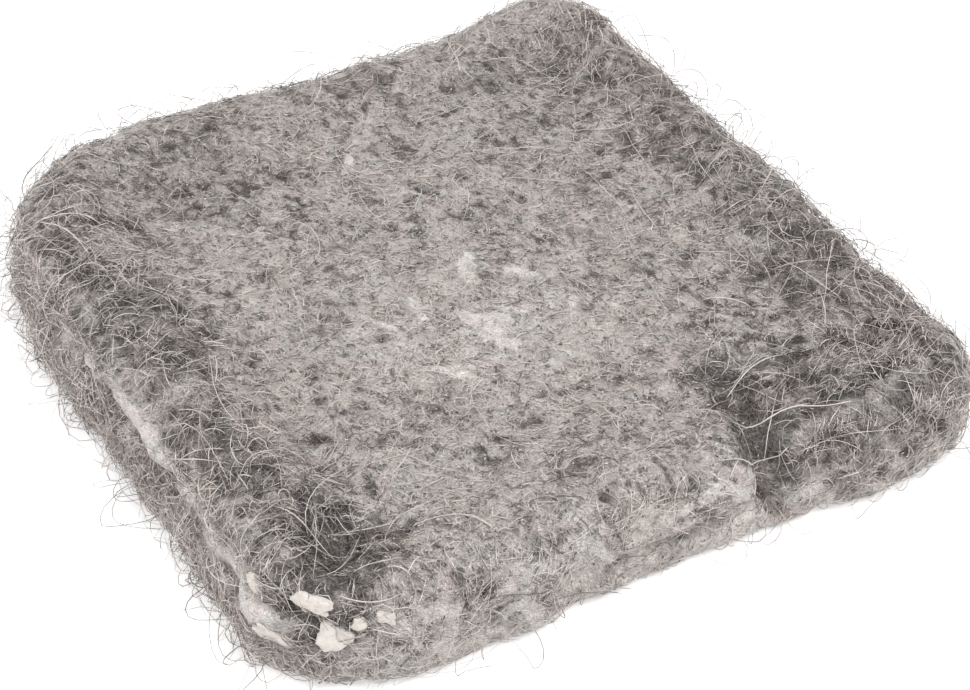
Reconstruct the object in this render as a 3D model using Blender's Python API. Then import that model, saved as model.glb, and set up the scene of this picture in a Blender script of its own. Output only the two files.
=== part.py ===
"""Steel wool pad: one ribbon of steel wool folded and pressed into a square cushion.

Flakes of dried soap sit in the wool where two of its edges meet. The pad lies flat
on its underside. X runs from the narrow back edge to the pale
end face, Y from the layered fold edge to the rolled lobe, and Z points up. The
origin is the middle of the underside. Sizes are in metres.
"""

import math

import bmesh
import bpy
import numpy as np
from mathutils import Matrix, Vector

# Overall size of the pressed pad
PAD_LENGTH = 0.0744
PAD_WIDTH = 0.0700
CENTRE_THICKNESS = 0.0090

# Corner radii, seen from above
END_ROLL_CORNER = 0.0088
BACK_ROLL_CORNER = 0.0120
BACK_FOLD_CORNER = 0.0155
END_FOLD_CORNER = 0.0122

# Rounding of the edge, seen from the side
LOWER_EDGE_RADIUS = 0.0020
UPPER_EDGE_RADIUS = 0.0036

# Puffed rim that runs around the pressed middle
RIM_INSET = 0.0056
RIM_SPREAD = 0.0046
RIM_RISE_ROLL = 0.0019
RIM_RISE_FOLD = 0.0017
RIM_RISE_BACK = 0.0014
RIM_RISE_END = 0.0009

# Bows of the four sides, outwards where positive
BOW_SPREAD = 0.0160
BOW_END = -0.0012
BOW_BACK = 0.0012
BOW_FOLD = 0.0012
BOW_ROLL = 0.0003

# Lumps of the outline: waves around it, start and share of the lump
OUTLINE_LUMP = 0.00020
OUTLINE_WAVES = ((7, 0.7, 1.0), (13, 2.1, 0.8), (23, 4.0, 0.6), (31, 5.2, 0.7), (41, 1.3, 0.6))

# Lumps of the pressed top: length along X, length along Y, start and share of the lump
TOP_LUMP = 0.00022
TOP_WAVES = (
    (0.0580, 0.0470, 1.7, 0.6),
    (0.0560, -0.0490, 0.4, 0.6),
    (0.0300, -0.0380, 0.0, 0.5),
    (0.0330, 0.0245, 2.0, 0.5),
)

# Tufts of the wool, higher on the rim than in the middle: length along X, length
# along Y, start and share of the tuft
TUFT_RISE = 0.00050
TUFT_MIDDLE_SHARE = 0.30
TUFT_RIM_INSET = 0.0180
TUFT_WAVES = (
    (0.0079, 0.0240, 0.9, 0.30),
    (-0.0105, 0.0106, 2.3, 0.25),
    (0.0230, 0.0064, 4.0, 0.25),
    (0.0094, -0.0078, 5.1, 0.20),
)

# Seam between the folded layers, around the fold edge
SEAM_HEIGHT = 0.0070
SEAM_DEPTH = 0.0015
SEAM_SPREAD = 0.0011
SEAM_FADE = 0.0060

# Layer line of the end face, with deeper gaps along it
LAYER_HEIGHT = 0.0037
LAYER_DEPTH = 0.0007
LAYER_GAP_DEPTH = 0.0006
LAYER_GAP_PITCH = 0.0042
LAYER_SPREAD = 0.0008
LAYER_REACH = 0.0120

# Rolled lobe along the roll side, parted from the end face by a groove
LOBE_WIDTH = 0.0246
GROOVE_DEPTH = 0.0026
GROOVE_SPREAD = 0.0011
CREASE_LENGTH = 0.0240
CREASE_DEPTH = 0.0015
CREASE_SPREAD = 0.0018
CREASE_DRIFT = 0.0040

# Loose crease behind the rim of the fold edge
FOLD_CREASE_INSET = 0.0125
FOLD_CREASE_DEPTH = 0.0009
FOLD_CREASE_SPREAD = 0.0017
FOLD_CREASE_START = 0.0080
FOLD_CREASE_LENGTH = 0.0300

# Pocket where the layers open at the end of the fold edge
POCKET_FROM_END = 0.0100
POCKET_FROM_FOLD = 0.0082
POCKET_DEPTH = 0.0026
POCKET_SPREAD_X = 0.0034
POCKET_SPREAD_Y = 0.0026

# Curled-up corner between the back edge and the roll side
CURL_RISE = 0.0034
CURL_INSET = 0.0040
CURL_SPREAD = 0.0030
CURL_REACH = 0.0066
CURL_HOLLOW = 0.0012
CURL_HOLLOW_INSET = 0.0110
CURL_HOLLOW_SPREAD = 0.0036

# Lobe's outer corner, lifted a little off the table
LIFT_RISE = 0.0011
LIFT_REACH = 0.0150

# Dried soap flakes around the corner between the end face and the fold edge:
# distance from the corner's middle towards the end face, height, length, breadth,
# thickness and turn in the skin
SOAP_FLAKES = (
    (0.0012, 0.0060, 0.0030, 0.0022, 0.0010, 0.1),
    (-0.0008, 0.0087, 0.0032, 0.0013, 0.0009, -0.15),
    (0.0034, 0.0075, 0.0014, 0.0010, 0.0008, 0.5),
    (0.0057, 0.0080, 0.0015, 0.0011, 0.0008, -0.2),
    (-0.0070, 0.0083, 0.0014, 0.0021, 0.0009, 0.3),
    (-0.0042, 0.0051, 0.0034, 0.0012, 0.0009, -0.3),
)
FLAKE_PROUD = 0.0003
FLAKE_CLEARANCE = 0.0003
FLAKE_SQUARENESS = 3.0
FLAKE_UNEVENNESS = 0.13
FLAKE_WAVES = 4.2
FLAKE_TURNS = 2.6

# Fineness of the surface
COLUMNS = 126
ARC_STEPS = 24
GROOVE_CROWDING = 2.2
GROOVE_CROWDING_SPREAD = 0.0040
LOWER_EDGE_STEPS = 3
WALL_STEPS = 6
UPPER_EDGE_STEPS = 5
TOP_RINGS = 17
TOP_RING_CROWDING = 1.25
UNDERSIDE_SHARES = (0.35, 0.65, 0.86)

STEEL_COLOUR = (0.335, 0.305, 0.290, 1.0)
STEEL_ROUGHNESS = 0.46
STEEL_METALLIC = 0.8
SOAP_COLOUR = (0.80, 0.745, 0.665, 1.0)
SOAP_ROUGHNESS = 0.7


def clear_scene():
    """Remove every object that the file opened with."""
    for item in list(bpy.data.objects):
        bpy.data.objects.remove(item, do_unlink=True)


def swell(distance, spread):
    """Bell shape: 1 at no distance, falling away over the spread."""
    return np.exp(-(np.asarray(distance) / spread) ** 2)


def fade(value, start, end):
    """Smooth step from 0 at start to 1 at end."""
    share = np.clip((np.asarray(value) - start) / (end - start), 0.0, 1.0)
    return share * share * (3.0 - 2.0 * share)


def outline_path():
    """Rounded rectangle, anticlockwise from the end face's roll corner: lengths, points, normals."""
    half = np.array([PAD_LENGTH, PAD_WIDTH]) / 2.0
    corners = (
        ((1.0, 1.0), END_ROLL_CORNER, 0.0),
        ((-1.0, 1.0), BACK_ROLL_CORNER, 90.0),
        ((-1.0, -1.0), BACK_FOLD_CORNER, 180.0),
        ((1.0, -1.0), END_FOLD_CORNER, 270.0),
    )
    points = []
    normals = []
    for signs, radius, start in corners:
        centre = np.array(signs) * (half - radius)
        angles = np.radians(start + np.linspace(0.0, 90.0, ARC_STEPS + 1))
        spokes = np.stack([np.cos(angles), np.sin(angles)], axis=1)
        points.append(centre + radius * spokes)
        normals.append(spokes)
    points = np.concatenate(points)
    normals = np.concatenate(normals)
    points = np.vstack([points, points[:1]])
    normals = np.vstack([normals, normals[:1]])
    steps = np.linalg.norm(np.diff(points, axis=0), axis=1)
    lengths = np.concatenate([[0.0], np.cumsum(steps)])
    return lengths, points, normals


PATH_LENGTHS, PATH_POINTS, PATH_NORMALS = outline_path()
GIRTH = PATH_LENGTHS[-1]
GROOVE_Y = PAD_WIDTH / 2.0 - LOBE_WIDTH


def along_path(station, values):
    """Read a list kept along the outline at any distance around it."""
    wrapped = np.mod(station, GIRTH)
    return np.stack([np.interp(wrapped, PATH_LENGTHS, values[:, axis]) for axis in (0, 1)], axis=-1)


def end_face_station(y):
    """Distance around the outline to a place on the end face."""
    return GIRTH - (PAD_WIDTH / 2.0 - END_ROLL_CORNER - y)


def side_bow(points):
    """How far each side stands out of the rounded rectangle."""
    x = points[..., 0]
    y = points[..., 1]
    beside_end = fade(x, PAD_LENGTH / 2.0 - BOW_SPREAD, PAD_LENGTH / 2.0)
    beside_back = fade(-x, PAD_LENGTH / 2.0 - BOW_SPREAD, PAD_LENGTH / 2.0)
    beside_roll = fade(y, PAD_WIDTH / 2.0 - BOW_SPREAD, PAD_WIDTH / 2.0)
    beside_fold = fade(-y, PAD_WIDTH / 2.0 - BOW_SPREAD, PAD_WIDTH / 2.0)
    bow = BOW_END * beside_end * swell(y, BOW_SPREAD)
    bow += BOW_BACK * beside_back * swell(y + BOW_SPREAD, BOW_SPREAD)
    bow += BOW_FOLD * beside_fold * swell(x + BOW_SPREAD / 2.0, BOW_SPREAD)
    bow += BOW_ROLL * beside_roll * swell(x, BOW_SPREAD)
    return bow


def outline_lumps(station):
    """Small unevenness of the outline."""
    turn = 2.0 * math.pi * np.asarray(station) / GIRTH
    return OUTLINE_LUMP * sum(share * np.sin(count * turn + start) for count, start, share in OUTLINE_WAVES)


def edge_inset(x, y):
    """Distance inwards from the rounded rectangle's edge."""
    radius = np.where(
        x > 0.0,
        np.where(y > 0.0, END_ROLL_CORNER, END_FOLD_CORNER),
        np.where(y > 0.0, BACK_ROLL_CORNER, BACK_FOLD_CORNER),
    )
    over_x = np.abs(x) - PAD_LENGTH / 2.0 + radius
    over_y = np.abs(y) - PAD_WIDTH / 2.0 + radius
    outside = np.hypot(np.maximum(over_x, 0.0), np.maximum(over_y, 0.0))
    inside = np.minimum(np.maximum(over_x, over_y), 0.0)
    return radius - outside - inside


def rim_rise(x, y):
    """Height of the puffed rim in the direction of each side."""
    bearing = np.arctan2(y / PAD_WIDTH, x / PAD_LENGTH)
    along_x = np.where(np.cos(bearing) > 0.0, RIM_RISE_END, RIM_RISE_BACK)
    along_y = np.where(np.sin(bearing) > 0.0, RIM_RISE_ROLL, RIM_RISE_FOLD)
    return along_x * np.cos(bearing) ** 2 + along_y * np.sin(bearing) ** 2


def lobe_crease(x, y):
    """Crease on the top that runs back from the groove beside the rolled lobe."""
    back = PAD_LENGTH / 2.0 - x
    line = GROOVE_Y + CREASE_DRIFT * fade(back, 0.0, CREASE_LENGTH)
    return CREASE_DEPTH * swell(y - line, CREASE_SPREAD) * (1.0 - fade(back, 0.0, CREASE_LENGTH))


def fold_crease(x, y):
    """Loose crease behind the rim of the fold edge, near the end face."""
    back = PAD_LENGTH / 2.0 - x
    reach = fade(back, 0.0, FOLD_CREASE_START)
    reach = reach * (1.0 - fade(back, FOLD_CREASE_START, FOLD_CREASE_START + FOLD_CREASE_LENGTH))
    line = -PAD_WIDTH / 2.0 + FOLD_CREASE_INSET
    return FOLD_CREASE_DEPTH * swell(y - line, FOLD_CREASE_SPREAD) * reach


def corner_pocket(x, y):
    """Hollow where the layers open beside the end face."""
    from_end = PAD_LENGTH / 2.0 - x - POCKET_FROM_END
    from_fold = PAD_WIDTH / 2.0 + y - POCKET_FROM_FOLD
    return POCKET_DEPTH * swell(from_end, POCKET_SPREAD_X) * swell(from_fold, POCKET_SPREAD_Y)


def corner_curl(x, y):
    """Curled-up corner: a raised lip along the corner, with a hollow behind it."""
    inset = edge_inset(x, y)
    from_back = x + PAD_LENGTH / 2.0
    from_roll = PAD_WIDTH / 2.0 - y
    middle = BACK_ROLL_CORNER * math.sqrt(0.5)
    near_lip = 1.0 - fade(np.hypot(from_back - middle, from_roll - middle), 0.0, 2.0 * CURL_REACH)
    near_hollow = swell(np.hypot(from_back - BACK_ROLL_CORNER, from_roll - BACK_ROLL_CORNER), CURL_REACH)
    lip = CURL_RISE * swell(inset - CURL_INSET, CURL_SPREAD) * near_lip
    return lip - CURL_HOLLOW * swell(inset - CURL_HOLLOW_INSET, CURL_HOLLOW_SPREAD) * near_hollow


def corner_lift(x, y):
    """How far the lobe's outer corner stands off the table, underside and all."""
    apart = np.hypot(PAD_LENGTH / 2.0 - x, PAD_WIDTH / 2.0 - y)
    return LIFT_RISE * (1.0 - fade(apart, 0.0, LIFT_REACH))


def top_lumps(x, y):
    """Slow unevenness of the pressed top."""
    lumps = 0.0
    for length_x, length_y, start, share in TOP_WAVES:
        lumps = lumps + share * np.sin(2.0 * math.pi * (x / length_x + y / length_y) + start)
    return TOP_LUMP * lumps


def tufts(x, y):
    """Rise of the tufts: several waves across the plan, weaker in the pressed middle."""
    rise = 0.0
    for length_x, length_y, start, share in TUFT_WAVES:
        rise = rise + share * np.sin(2.0 * math.pi * (x / length_x + y / length_y) + start)
    strength = 1.0 - (1.0 - TUFT_MIDDLE_SHARE) * fade(edge_inset(x, y), 0.0, TUFT_RIM_INSET)
    return TUFT_RISE * strength * rise


def pad_height(x, y):
    """Height of the pad's top above its underside."""
    height = CENTRE_THICKNESS + top_lumps(x, y) + tufts(x, y)
    height = height + rim_rise(x, y) * swell(edge_inset(x, y) - RIM_INSET, RIM_SPREAD)
    height = height + corner_curl(x, y)
    return height - lobe_crease(x, y) - fold_crease(x, y) - corner_pocket(x, y)


def wall_push(points, height):
    """How far the grooves and seams press the edge inwards."""
    x = points[..., 0]
    y = points[..., 1]
    beside_fold = fade(-y, PAD_WIDTH / 2.0 - SEAM_FADE, PAD_WIDTH / 2.0 - SEAM_FADE / 2.0)
    beside_end = fade(x, PAD_LENGTH / 2.0 - SEAM_FADE, PAD_LENGTH / 2.0 - SEAM_FADE / 2.0)
    seam = SEAM_DEPTH * beside_fold * swell(height - SEAM_HEIGHT, SEAM_SPREAD)
    gaps = 0.5 + 0.5 * np.cos(2.0 * math.pi * y / LAYER_GAP_PITCH)
    layer = (LAYER_DEPTH + LAYER_GAP_DEPTH * gaps) * beside_end * swell(y, LAYER_REACH)
    layer = layer * swell(height - LAYER_HEIGHT, LAYER_SPREAD)
    rising = fade(height, 0.0, 2.0 * LOWER_EDGE_RADIUS)
    groove = GROOVE_DEPTH * beside_end * swell(y - GROOVE_Y, GROOVE_SPREAD) * rising
    return seam + layer + groove


def skin(station, inset, share, level):
    """A point of the pad's skin.

    The outline's point at this distance around is moved inwards by the inset, then
    drawn towards the middle by the share. The level runs from 0 on the underside to
    1 on the top.
    """
    points = along_path(station, PATH_POINTS)
    normals = along_path(station, PATH_NORMALS)
    out = side_bow(points) + outline_lumps(station)
    edge = points + normals * (out - inset)[..., None]
    height = level * pad_height(edge[..., 0] * share, edge[..., 1] * share)
    push = wall_push(points, height) * fade(share, 0.8, 1.0)
    plan = (edge - normals * push[..., None]) * np.asarray(share)[..., None]
    height = level * pad_height(plan[..., 0], plan[..., 1]) + corner_lift(plan[..., 0], plan[..., 1])
    return np.concatenate([plan, height[..., None]], axis=-1)


def edge_height():
    """Height of the edge on which the rows up its side are spaced."""
    return CENTRE_THICKNESS + max(RIM_RISE_ROLL, RIM_RISE_FOLD) / 2.0


def edge_rows():
    """Insets and levels up the rounded edge, from the underside to the top."""
    full = edge_height()
    rows = []
    for step in range(LOWER_EDGE_STEPS + 1):
        angle = 0.5 * math.pi * step / LOWER_EDGE_STEPS
        inset = LOWER_EDGE_RADIUS * (1.0 - math.sin(angle))
        rows.append((inset, LOWER_EDGE_RADIUS * (1.0 - math.cos(angle))))
    wall = full - LOWER_EDGE_RADIUS - UPPER_EDGE_RADIUS
    for step in range(1, WALL_STEPS):
        rows.append((0.0, LOWER_EDGE_RADIUS + wall * step / WALL_STEPS))
    for step in range(UPPER_EDGE_STEPS + 1):
        angle = 0.5 * math.pi * step / UPPER_EDGE_STEPS
        rise = full - UPPER_EDGE_RADIUS * (1.0 - math.sin(angle))
        rows.append((UPPER_EDGE_RADIUS * (1.0 - math.cos(angle)), rise))
    return [(inset, height / full) for inset, height in rows]


def column_stations():
    """Distances around the outline, closer together beside the groove."""
    fine = np.linspace(0.0, GIRTH, 2000)
    away = np.abs(fine - end_face_station(GROOVE_Y))
    crowd = 1.0 + GROOVE_CROWDING * swell(np.minimum(away, GIRTH - away), GROOVE_CROWDING_SPREAD)
    total = np.concatenate([[0.0], np.cumsum(0.5 * (crowd[1:] + crowd[:-1]))])
    return np.interp(np.arange(COLUMNS) / COLUMNS * total[-1], total, fine)


def pad_rings():
    """Every ring of the skin, from the underside's middle outwards, up and over the top."""
    stations = column_stations()
    rows = [(LOWER_EDGE_RADIUS, share, 0.0) for share in UNDERSIDE_SHARES]
    rows += [(inset, 1.0, level) for inset, level in edge_rows()]
    for ring in range(1, TOP_RINGS):
        share = 1.0 - (ring / TOP_RINGS) ** TOP_RING_CROWDING
        rows.append((UPPER_EDGE_RADIUS, share, 1.0))
    rings = []
    for inset, share, level in rows:
        shape = np.ones(COLUMNS)
        rings.append(skin(stations, inset * shape, share * shape, level * shape))
    return rings


def add_object(name, mesh_data, material):
    """Put a finished bmesh into the scene as a smooth-shaded object."""
    mesh = bpy.data.meshes.new(name)
    mesh_data.to_mesh(mesh)
    mesh_data.free()
    mesh.shade_smooth()
    mesh.set_sharp_from_angle(angle=math.radians(50.0))
    mesh.materials.append(material)
    item = bpy.data.objects.new(name, mesh)
    bpy.context.scene.collection.objects.link(item)
    return item


def make_material(name, colour, roughness, metallic):
    """A plain material from a colour, a roughness and a metallic value."""
    material = bpy.data.materials.new(name)
    material.use_nodes = True
    shader = material.node_tree.nodes["Principled BSDF"]
    shader.inputs["Base Color"].default_value = colour
    shader.inputs["Roughness"].default_value = roughness
    shader.inputs["Metallic"].default_value = metallic
    return material


def frame_shift(rings):
    """Offset that brings the middle of the pad's plan to the origin."""
    spread = np.concatenate(rings)
    middle = (spread.max(axis=0) + spread.min(axis=0)) / 2.0
    return np.array([middle[0], middle[1], 0.0])


def corner_spot(along, rise, shift):
    """A point of the skin at the fold corner: distance along it from its middle, and height."""
    middle = end_face_station(-PAD_WIDTH / 2.0 + END_FOLD_CORNER) - END_FOLD_CORNER * math.pi / 4.0
    rows = edge_rows()
    level = rise / edge_height()
    inset = np.interp(level, [row[1] for row in rows], [row[0] for row in rows])
    station = np.array([middle + along])
    one = np.ones(1)
    return Vector(skin(station, inset * one, one, level * one)[0] - shift)


def flake_placement(along, rise, thickness, turn, shift):
    """Where a flake sits: its middle, sunk into the skin, and its turn against it."""
    step = thickness / 2.0
    side = corner_spot(along + step, rise, shift) - corner_spot(along - step, rise, shift)
    up = corner_spot(along, rise + step, shift) - corner_spot(along, rise - step, shift)
    side.normalize()
    out = side.cross(up).normalized()
    up = out.cross(side)
    place = Matrix((side, up, out)).transposed().to_4x4()
    place.translation = corner_spot(along, rise, shift) + out * (FLAKE_PROUD - thickness / 2.0)
    return place @ Matrix.Rotation(turn, 4, "Z")


def add_flake_shape(work, sizes, grow, place, start):
    """A squarish lump with uneven sides, larger all round by the growth."""
    made = bmesh.ops.create_icosphere(work, subdivisions=3, radius=1.0)
    for vertex in made["verts"]:
        ray = vertex.co.normalized()
        reach = sum(abs(part) ** FLAKE_SQUARENESS for part in ray) ** (-1.0 / FLAKE_SQUARENESS)
        reach *= 1.0 + FLAKE_UNEVENNESS * math.sin(FLAKE_WAVES * ray.x + start)
        reach *= 1.0 + FLAKE_UNEVENNESS * math.sin(FLAKE_WAVES * (ray.y + ray.x / 2.0) + 2.0 * start)
        reach *= 1.0 + FLAKE_UNEVENNESS / 2.0 * math.sin(2.0 * FLAKE_WAVES * (ray.x - ray.y) - start)
        spot = [part * reach * (size / 2.0 + grow) for part, size in zip(ray, sizes)]
        vertex.co = place @ Vector(spot)


def build_soap_flakes(shift):
    """The flakes, each a solid of its own, and one cutter shape for all their seats."""
    soap = make_material("dried_soap", SOAP_COLOUR, SOAP_ROUGHNESS, 0.0)
    seats = bmesh.new()
    for number, (along, rise, length, breadth, thickness, turn) in enumerate(SOAP_FLAKES, start=1):
        place = flake_placement(along, rise, thickness, turn, shift)
        sizes = (length, breadth, thickness)
        start = FLAKE_TURNS * number
        work = bmesh.new()
        add_flake_shape(work, sizes, 0.0, place, start)
        add_object(f"soap_flake_{number}", work, soap)
        add_flake_shape(seats, sizes, FLAKE_CLEARANCE, place, start)
    cutter = add_object("flake_seats", seats, soap)
    cutter.hide_render = True
    cutter.display_type = "WIRE"
    return cutter


def cut_seats(pad, cutter):
    """Sink the flakes' seats into the wool."""
    cut = pad.modifiers.new("flake_seats", "BOOLEAN")
    cut.operation = "DIFFERENCE"
    cut.solver = "EXACT"
    cut.use_self = True
    cut.object = cutter


def build_wool_pad(rings, shift):
    """The folded and pressed ribbon as one closed skin."""
    work = bmesh.new()
    loops = [[work.verts.new(point - shift) for point in ring] for ring in rings]
    low = work.verts.new(-shift)
    high = work.verts.new(np.array([0.0, 0.0, float(pad_height(0.0, 0.0))]) - shift)
    for column in range(COLUMNS):
        after = (column + 1) % COLUMNS
        work.faces.new((low, loops[0][after], loops[0][column]))
        work.faces.new((high, loops[-1][column], loops[-1][after]))
        for lower, upper in zip(loops, loops[1:]):
            work.faces.new((lower[column], lower[after], upper[after], upper[column]))
    bmesh.ops.triangulate(work, faces=work.faces)
    steel = make_material("steel_wool", STEEL_COLOUR, STEEL_ROUGHNESS, STEEL_METALLIC)
    return add_object("wool_pad", work, steel)


def main():
    """Build the pad and the soap caught in it."""
    clear_scene()
    rings = pad_rings()
    shift = frame_shift(rings)
    pad = build_wool_pad(rings, shift)
    cut_seats(pad, build_soap_flakes(shift))


main()
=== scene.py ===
"""Steel wool pad: its matted body, its strands, the soap in it, and the stage it is shown on.

The pad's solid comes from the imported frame. The body and every strand follow the same
rounded, grooved and curled form, which is worked out here from the same named sizes.
Sizes are in metres. X runs from the back edge to the pale end face, Y from the layered
fold edge to the rolled lobe, and Z points up.
"""

import math

import bpy
import numpy as np
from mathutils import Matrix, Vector


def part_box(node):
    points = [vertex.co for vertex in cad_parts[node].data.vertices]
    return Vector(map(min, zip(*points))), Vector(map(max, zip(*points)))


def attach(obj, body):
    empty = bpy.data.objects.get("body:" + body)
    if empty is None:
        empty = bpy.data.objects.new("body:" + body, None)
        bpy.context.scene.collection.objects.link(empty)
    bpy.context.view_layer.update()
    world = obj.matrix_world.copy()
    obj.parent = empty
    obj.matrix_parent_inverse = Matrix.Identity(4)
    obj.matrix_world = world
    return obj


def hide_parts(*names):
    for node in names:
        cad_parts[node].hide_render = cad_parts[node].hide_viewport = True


bl_info = {
    "name": "Steel wool pad",
    "version": (1, 0, 0),
    "blender": (4, 5, 0),
    "location": "View3D > Sidebar > Wool Pad",
    "description": "Builds the body, the strands and the stage of a folded steel wool pad",
    "category": "Object",
}

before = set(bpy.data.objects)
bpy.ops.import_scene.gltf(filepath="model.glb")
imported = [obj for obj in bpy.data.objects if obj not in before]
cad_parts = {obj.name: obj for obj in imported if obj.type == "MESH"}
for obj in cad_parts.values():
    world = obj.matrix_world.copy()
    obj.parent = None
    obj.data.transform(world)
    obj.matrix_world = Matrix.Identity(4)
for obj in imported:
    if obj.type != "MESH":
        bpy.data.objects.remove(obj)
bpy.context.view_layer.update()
PAD_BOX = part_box("wool_pad")

SEED = 20261

# Overall size of the pressed pad
PAD_LENGTH = 0.0744
PAD_WIDTH = 0.0700
CENTRE_THICKNESS = 0.0090

# Corner radii, seen from above
END_ROLL_CORNER = 0.0088
BACK_ROLL_CORNER = 0.0120
BACK_FOLD_CORNER = 0.0155
END_FOLD_CORNER = 0.0122

# Rounding of the edge, seen from the side
LOWER_EDGE_RADIUS = 0.0020
UPPER_EDGE_RADIUS = 0.0036

# Puffed rim that runs around the pressed middle
RIM_INSET = 0.0056
RIM_SPREAD = 0.0046
RIM_RISE_ROLL = 0.0019
RIM_RISE_FOLD = 0.0017
RIM_RISE_BACK = 0.0014
RIM_RISE_END = 0.0009

# Bows of the four sides, outwards where positive
BOW_SPREAD = 0.0160
BOW_END = -0.0012
BOW_BACK = 0.0012
BOW_FOLD = 0.0012
BOW_ROLL = 0.0003

# Lumps of the outline: waves around it, start and share of the lump
OUTLINE_LUMP = 0.00020
OUTLINE_WAVES = ((7, 0.7, 1.0), (13, 2.1, 0.8), (23, 4.0, 0.6), (31, 5.2, 0.7), (41, 1.3, 0.6))

# Lumps of the pressed top: length along X, length along Y, start and share of the lump
TOP_LUMP = 0.00022
TOP_WAVES = (
    (0.0580, 0.0470, 1.7, 0.6),
    (0.0560, -0.0490, 0.4, 0.6),
    (0.0300, -0.0380, 0.0, 0.5),
    (0.0330, 0.0245, 2.0, 0.5),
)

# Tufts of the wool, higher on the rim than in the middle: length along X, length
# along Y, start and share of the tuft
TUFT_RISE = 0.00050
TUFT_MIDDLE_SHARE = 0.30
TUFT_RIM_INSET = 0.0180
TUFT_WAVES = (
    (0.0079, 0.0240, 0.9, 0.30),
    (-0.0105, 0.0106, 2.3, 0.25),
    (0.0230, 0.0064, 4.0, 0.25),
    (0.0094, -0.0078, 5.1, 0.20),
)

# Seam between the folded layers, around the fold edge
SEAM_HEIGHT = 0.0070
SEAM_DEPTH = 0.0015
SEAM_SPREAD = 0.0011
SEAM_FADE = 0.0060

# Layer line of the end face, with deeper gaps along it
LAYER_HEIGHT = 0.0037
LAYER_DEPTH = 0.0007
LAYER_GAP_DEPTH = 0.0006
LAYER_GAP_PITCH = 0.0042
LAYER_SPREAD = 0.0008
LAYER_REACH = 0.0120

# Rolled lobe along the roll side, parted from the end face by a groove
LOBE_WIDTH = 0.0246
GROOVE_DEPTH = 0.0026
GROOVE_SPREAD = 0.0011

# Crease that runs back over the top from the groove
CREASE_LENGTH = 0.0240
CREASE_DEPTH = 0.0015
CREASE_SPREAD = 0.0018
CREASE_DRIFT = 0.0040

# Loose crease behind the rim of the fold edge
FOLD_CREASE_INSET = 0.0125
FOLD_CREASE_DEPTH = 0.0009
FOLD_CREASE_SPREAD = 0.0017
FOLD_CREASE_START = 0.0080
FOLD_CREASE_LENGTH = 0.0300

# Pocket where the layers open at the end of the fold edge
POCKET_FROM_END = 0.0100
POCKET_FROM_FOLD = 0.0082
POCKET_DEPTH = 0.0026
POCKET_SPREAD_X = 0.0034
POCKET_SPREAD_Y = 0.0026

# Curled-up corner between the back edge and the roll side
CURL_RISE = 0.0034
CURL_INSET = 0.0040
CURL_SPREAD = 0.0030
CURL_REACH = 0.0066
CURL_HOLLOW = 0.0012
CURL_HOLLOW_INSET = 0.0110
CURL_HOLLOW_SPREAD = 0.0036

# Lobe's outer corner, lifted a little off the table
LIFT_RISE = 0.0011
LIFT_REACH = 0.0150

# Fineness of the body's surface
ARC_STEPS = 24
TOP_CELLS = 172
WALL_ROWS = 34
UNDERSIDE_ROWS = 12

# Body: how deep it lies under the pad's skin, how high its underside stands over the table,
# the height below which the skin counts as underside, and the lowest point of its wall
BODY_DEPTH = 0.00020
BODY_CLEARANCE = 0.00022
UNDERSIDE_HEIGHT = 0.0008
BODY_LOWEST = 0.00012

# Lowest point of a strand over the table
STRAND_LOWEST = 0.00002

# Body's own map: the top's square, the four bands of the wall, the underside's disc
MAP_EDGE = 0.01
MAP_SIDE = 0.59
MAP_BAND = 0.615
MAP_BAND_PITCH = 0.096
MAP_BAND_HEIGHT = 0.090
MAP_DISC = (0.805, 0.2)
MAP_DISC_REACH = 0.185

# Grid from which the strands' starting spots are drawn, and how far they are strewn from it
SCATTER_CELLS = 120
SCATTER_TURNS = 1000
SCATTER_ROWS = 18
SCATTER_RINGS = 34
SCATTER_SPREAD = 0.00030

# Small step by which the slope of the skin is measured
SLOPE_STEP = 0.00006

# Darkest and palest tone of a strand
TONES = (0.02, 0.98)

# Small open holes in the matted top: place along X and Y, radius
PITS = (
    (-0.0069, -0.0166, 0.00045),
    (0.0009, -0.0142, 0.00045),
    (0.0024, -0.0125, 0.00050),
    (0.0063, -0.0111, 0.00060),
    (0.0224, -0.0041, 0.00050),
    (0.0344, -0.0042, 0.00070),
    (0.0293, -0.0200, 0.00060),
    (-0.0124, 0.0034, 0.00060),
    (-0.0067, 0.0047, 0.00070),
    (-0.0075, 0.0035, 0.00045),
    (0.0245, -0.0237, 0.00060),
    (0.0262, -0.0243, 0.00050),
    (0.0276, -0.0224, 0.00055),
    (0.0130, -0.0290, 0.00060),
    (0.0329, -0.0278, 0.00055),
    (0.0322, -0.0305, 0.00050),
    (0.0303, -0.0255, 0.00050),
)

# Pale middle of the top: place along X and Y, and how far it reaches
PALE_MIDDLE = (0.0092, -0.0008)
PALE_REACH = 0.0105

# Slits between the layers of the end face: place along Y, height, half length, half height
END_SLITS = (
    (-0.0040, 0.0037, 0.0009, 0.00032),
    (-0.0015, 0.0050, 0.0010, 0.00026),
    (0.0026, 0.0034, 0.0012, 0.00036),
    (-0.0110, 0.0035, 0.0007, 0.00028),
    (-0.0165, 0.0044, 0.0006, 0.00028),
)

# Soft smears of soap on the top: place along X and Y, half length, half breadth, bearing
SMEARS = (
    (0.0118, -0.0019, 0.0030, 0.0013, 0.3),
    (0.0090, -0.0012, 0.0024, 0.0010, 1.2),
    (0.0012, 0.0006, 0.0030, 0.0010, -0.4),
    (0.0054, -0.0065, 0.0030, 0.0006, -0.1),
    (0.0055, -0.0100, 0.0016, 0.0005, 0.5),
    (-0.0201, -0.0010, 0.0012, 0.0005, -0.3),
    (0.0105, 0.0066, 0.0022, 0.0006, 2.6),
    (0.0040, 0.0050, 0.0020, 0.0005, 0.9),
    (0.0140, -0.0075, 0.0026, 0.0006, 0.8),
)
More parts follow.
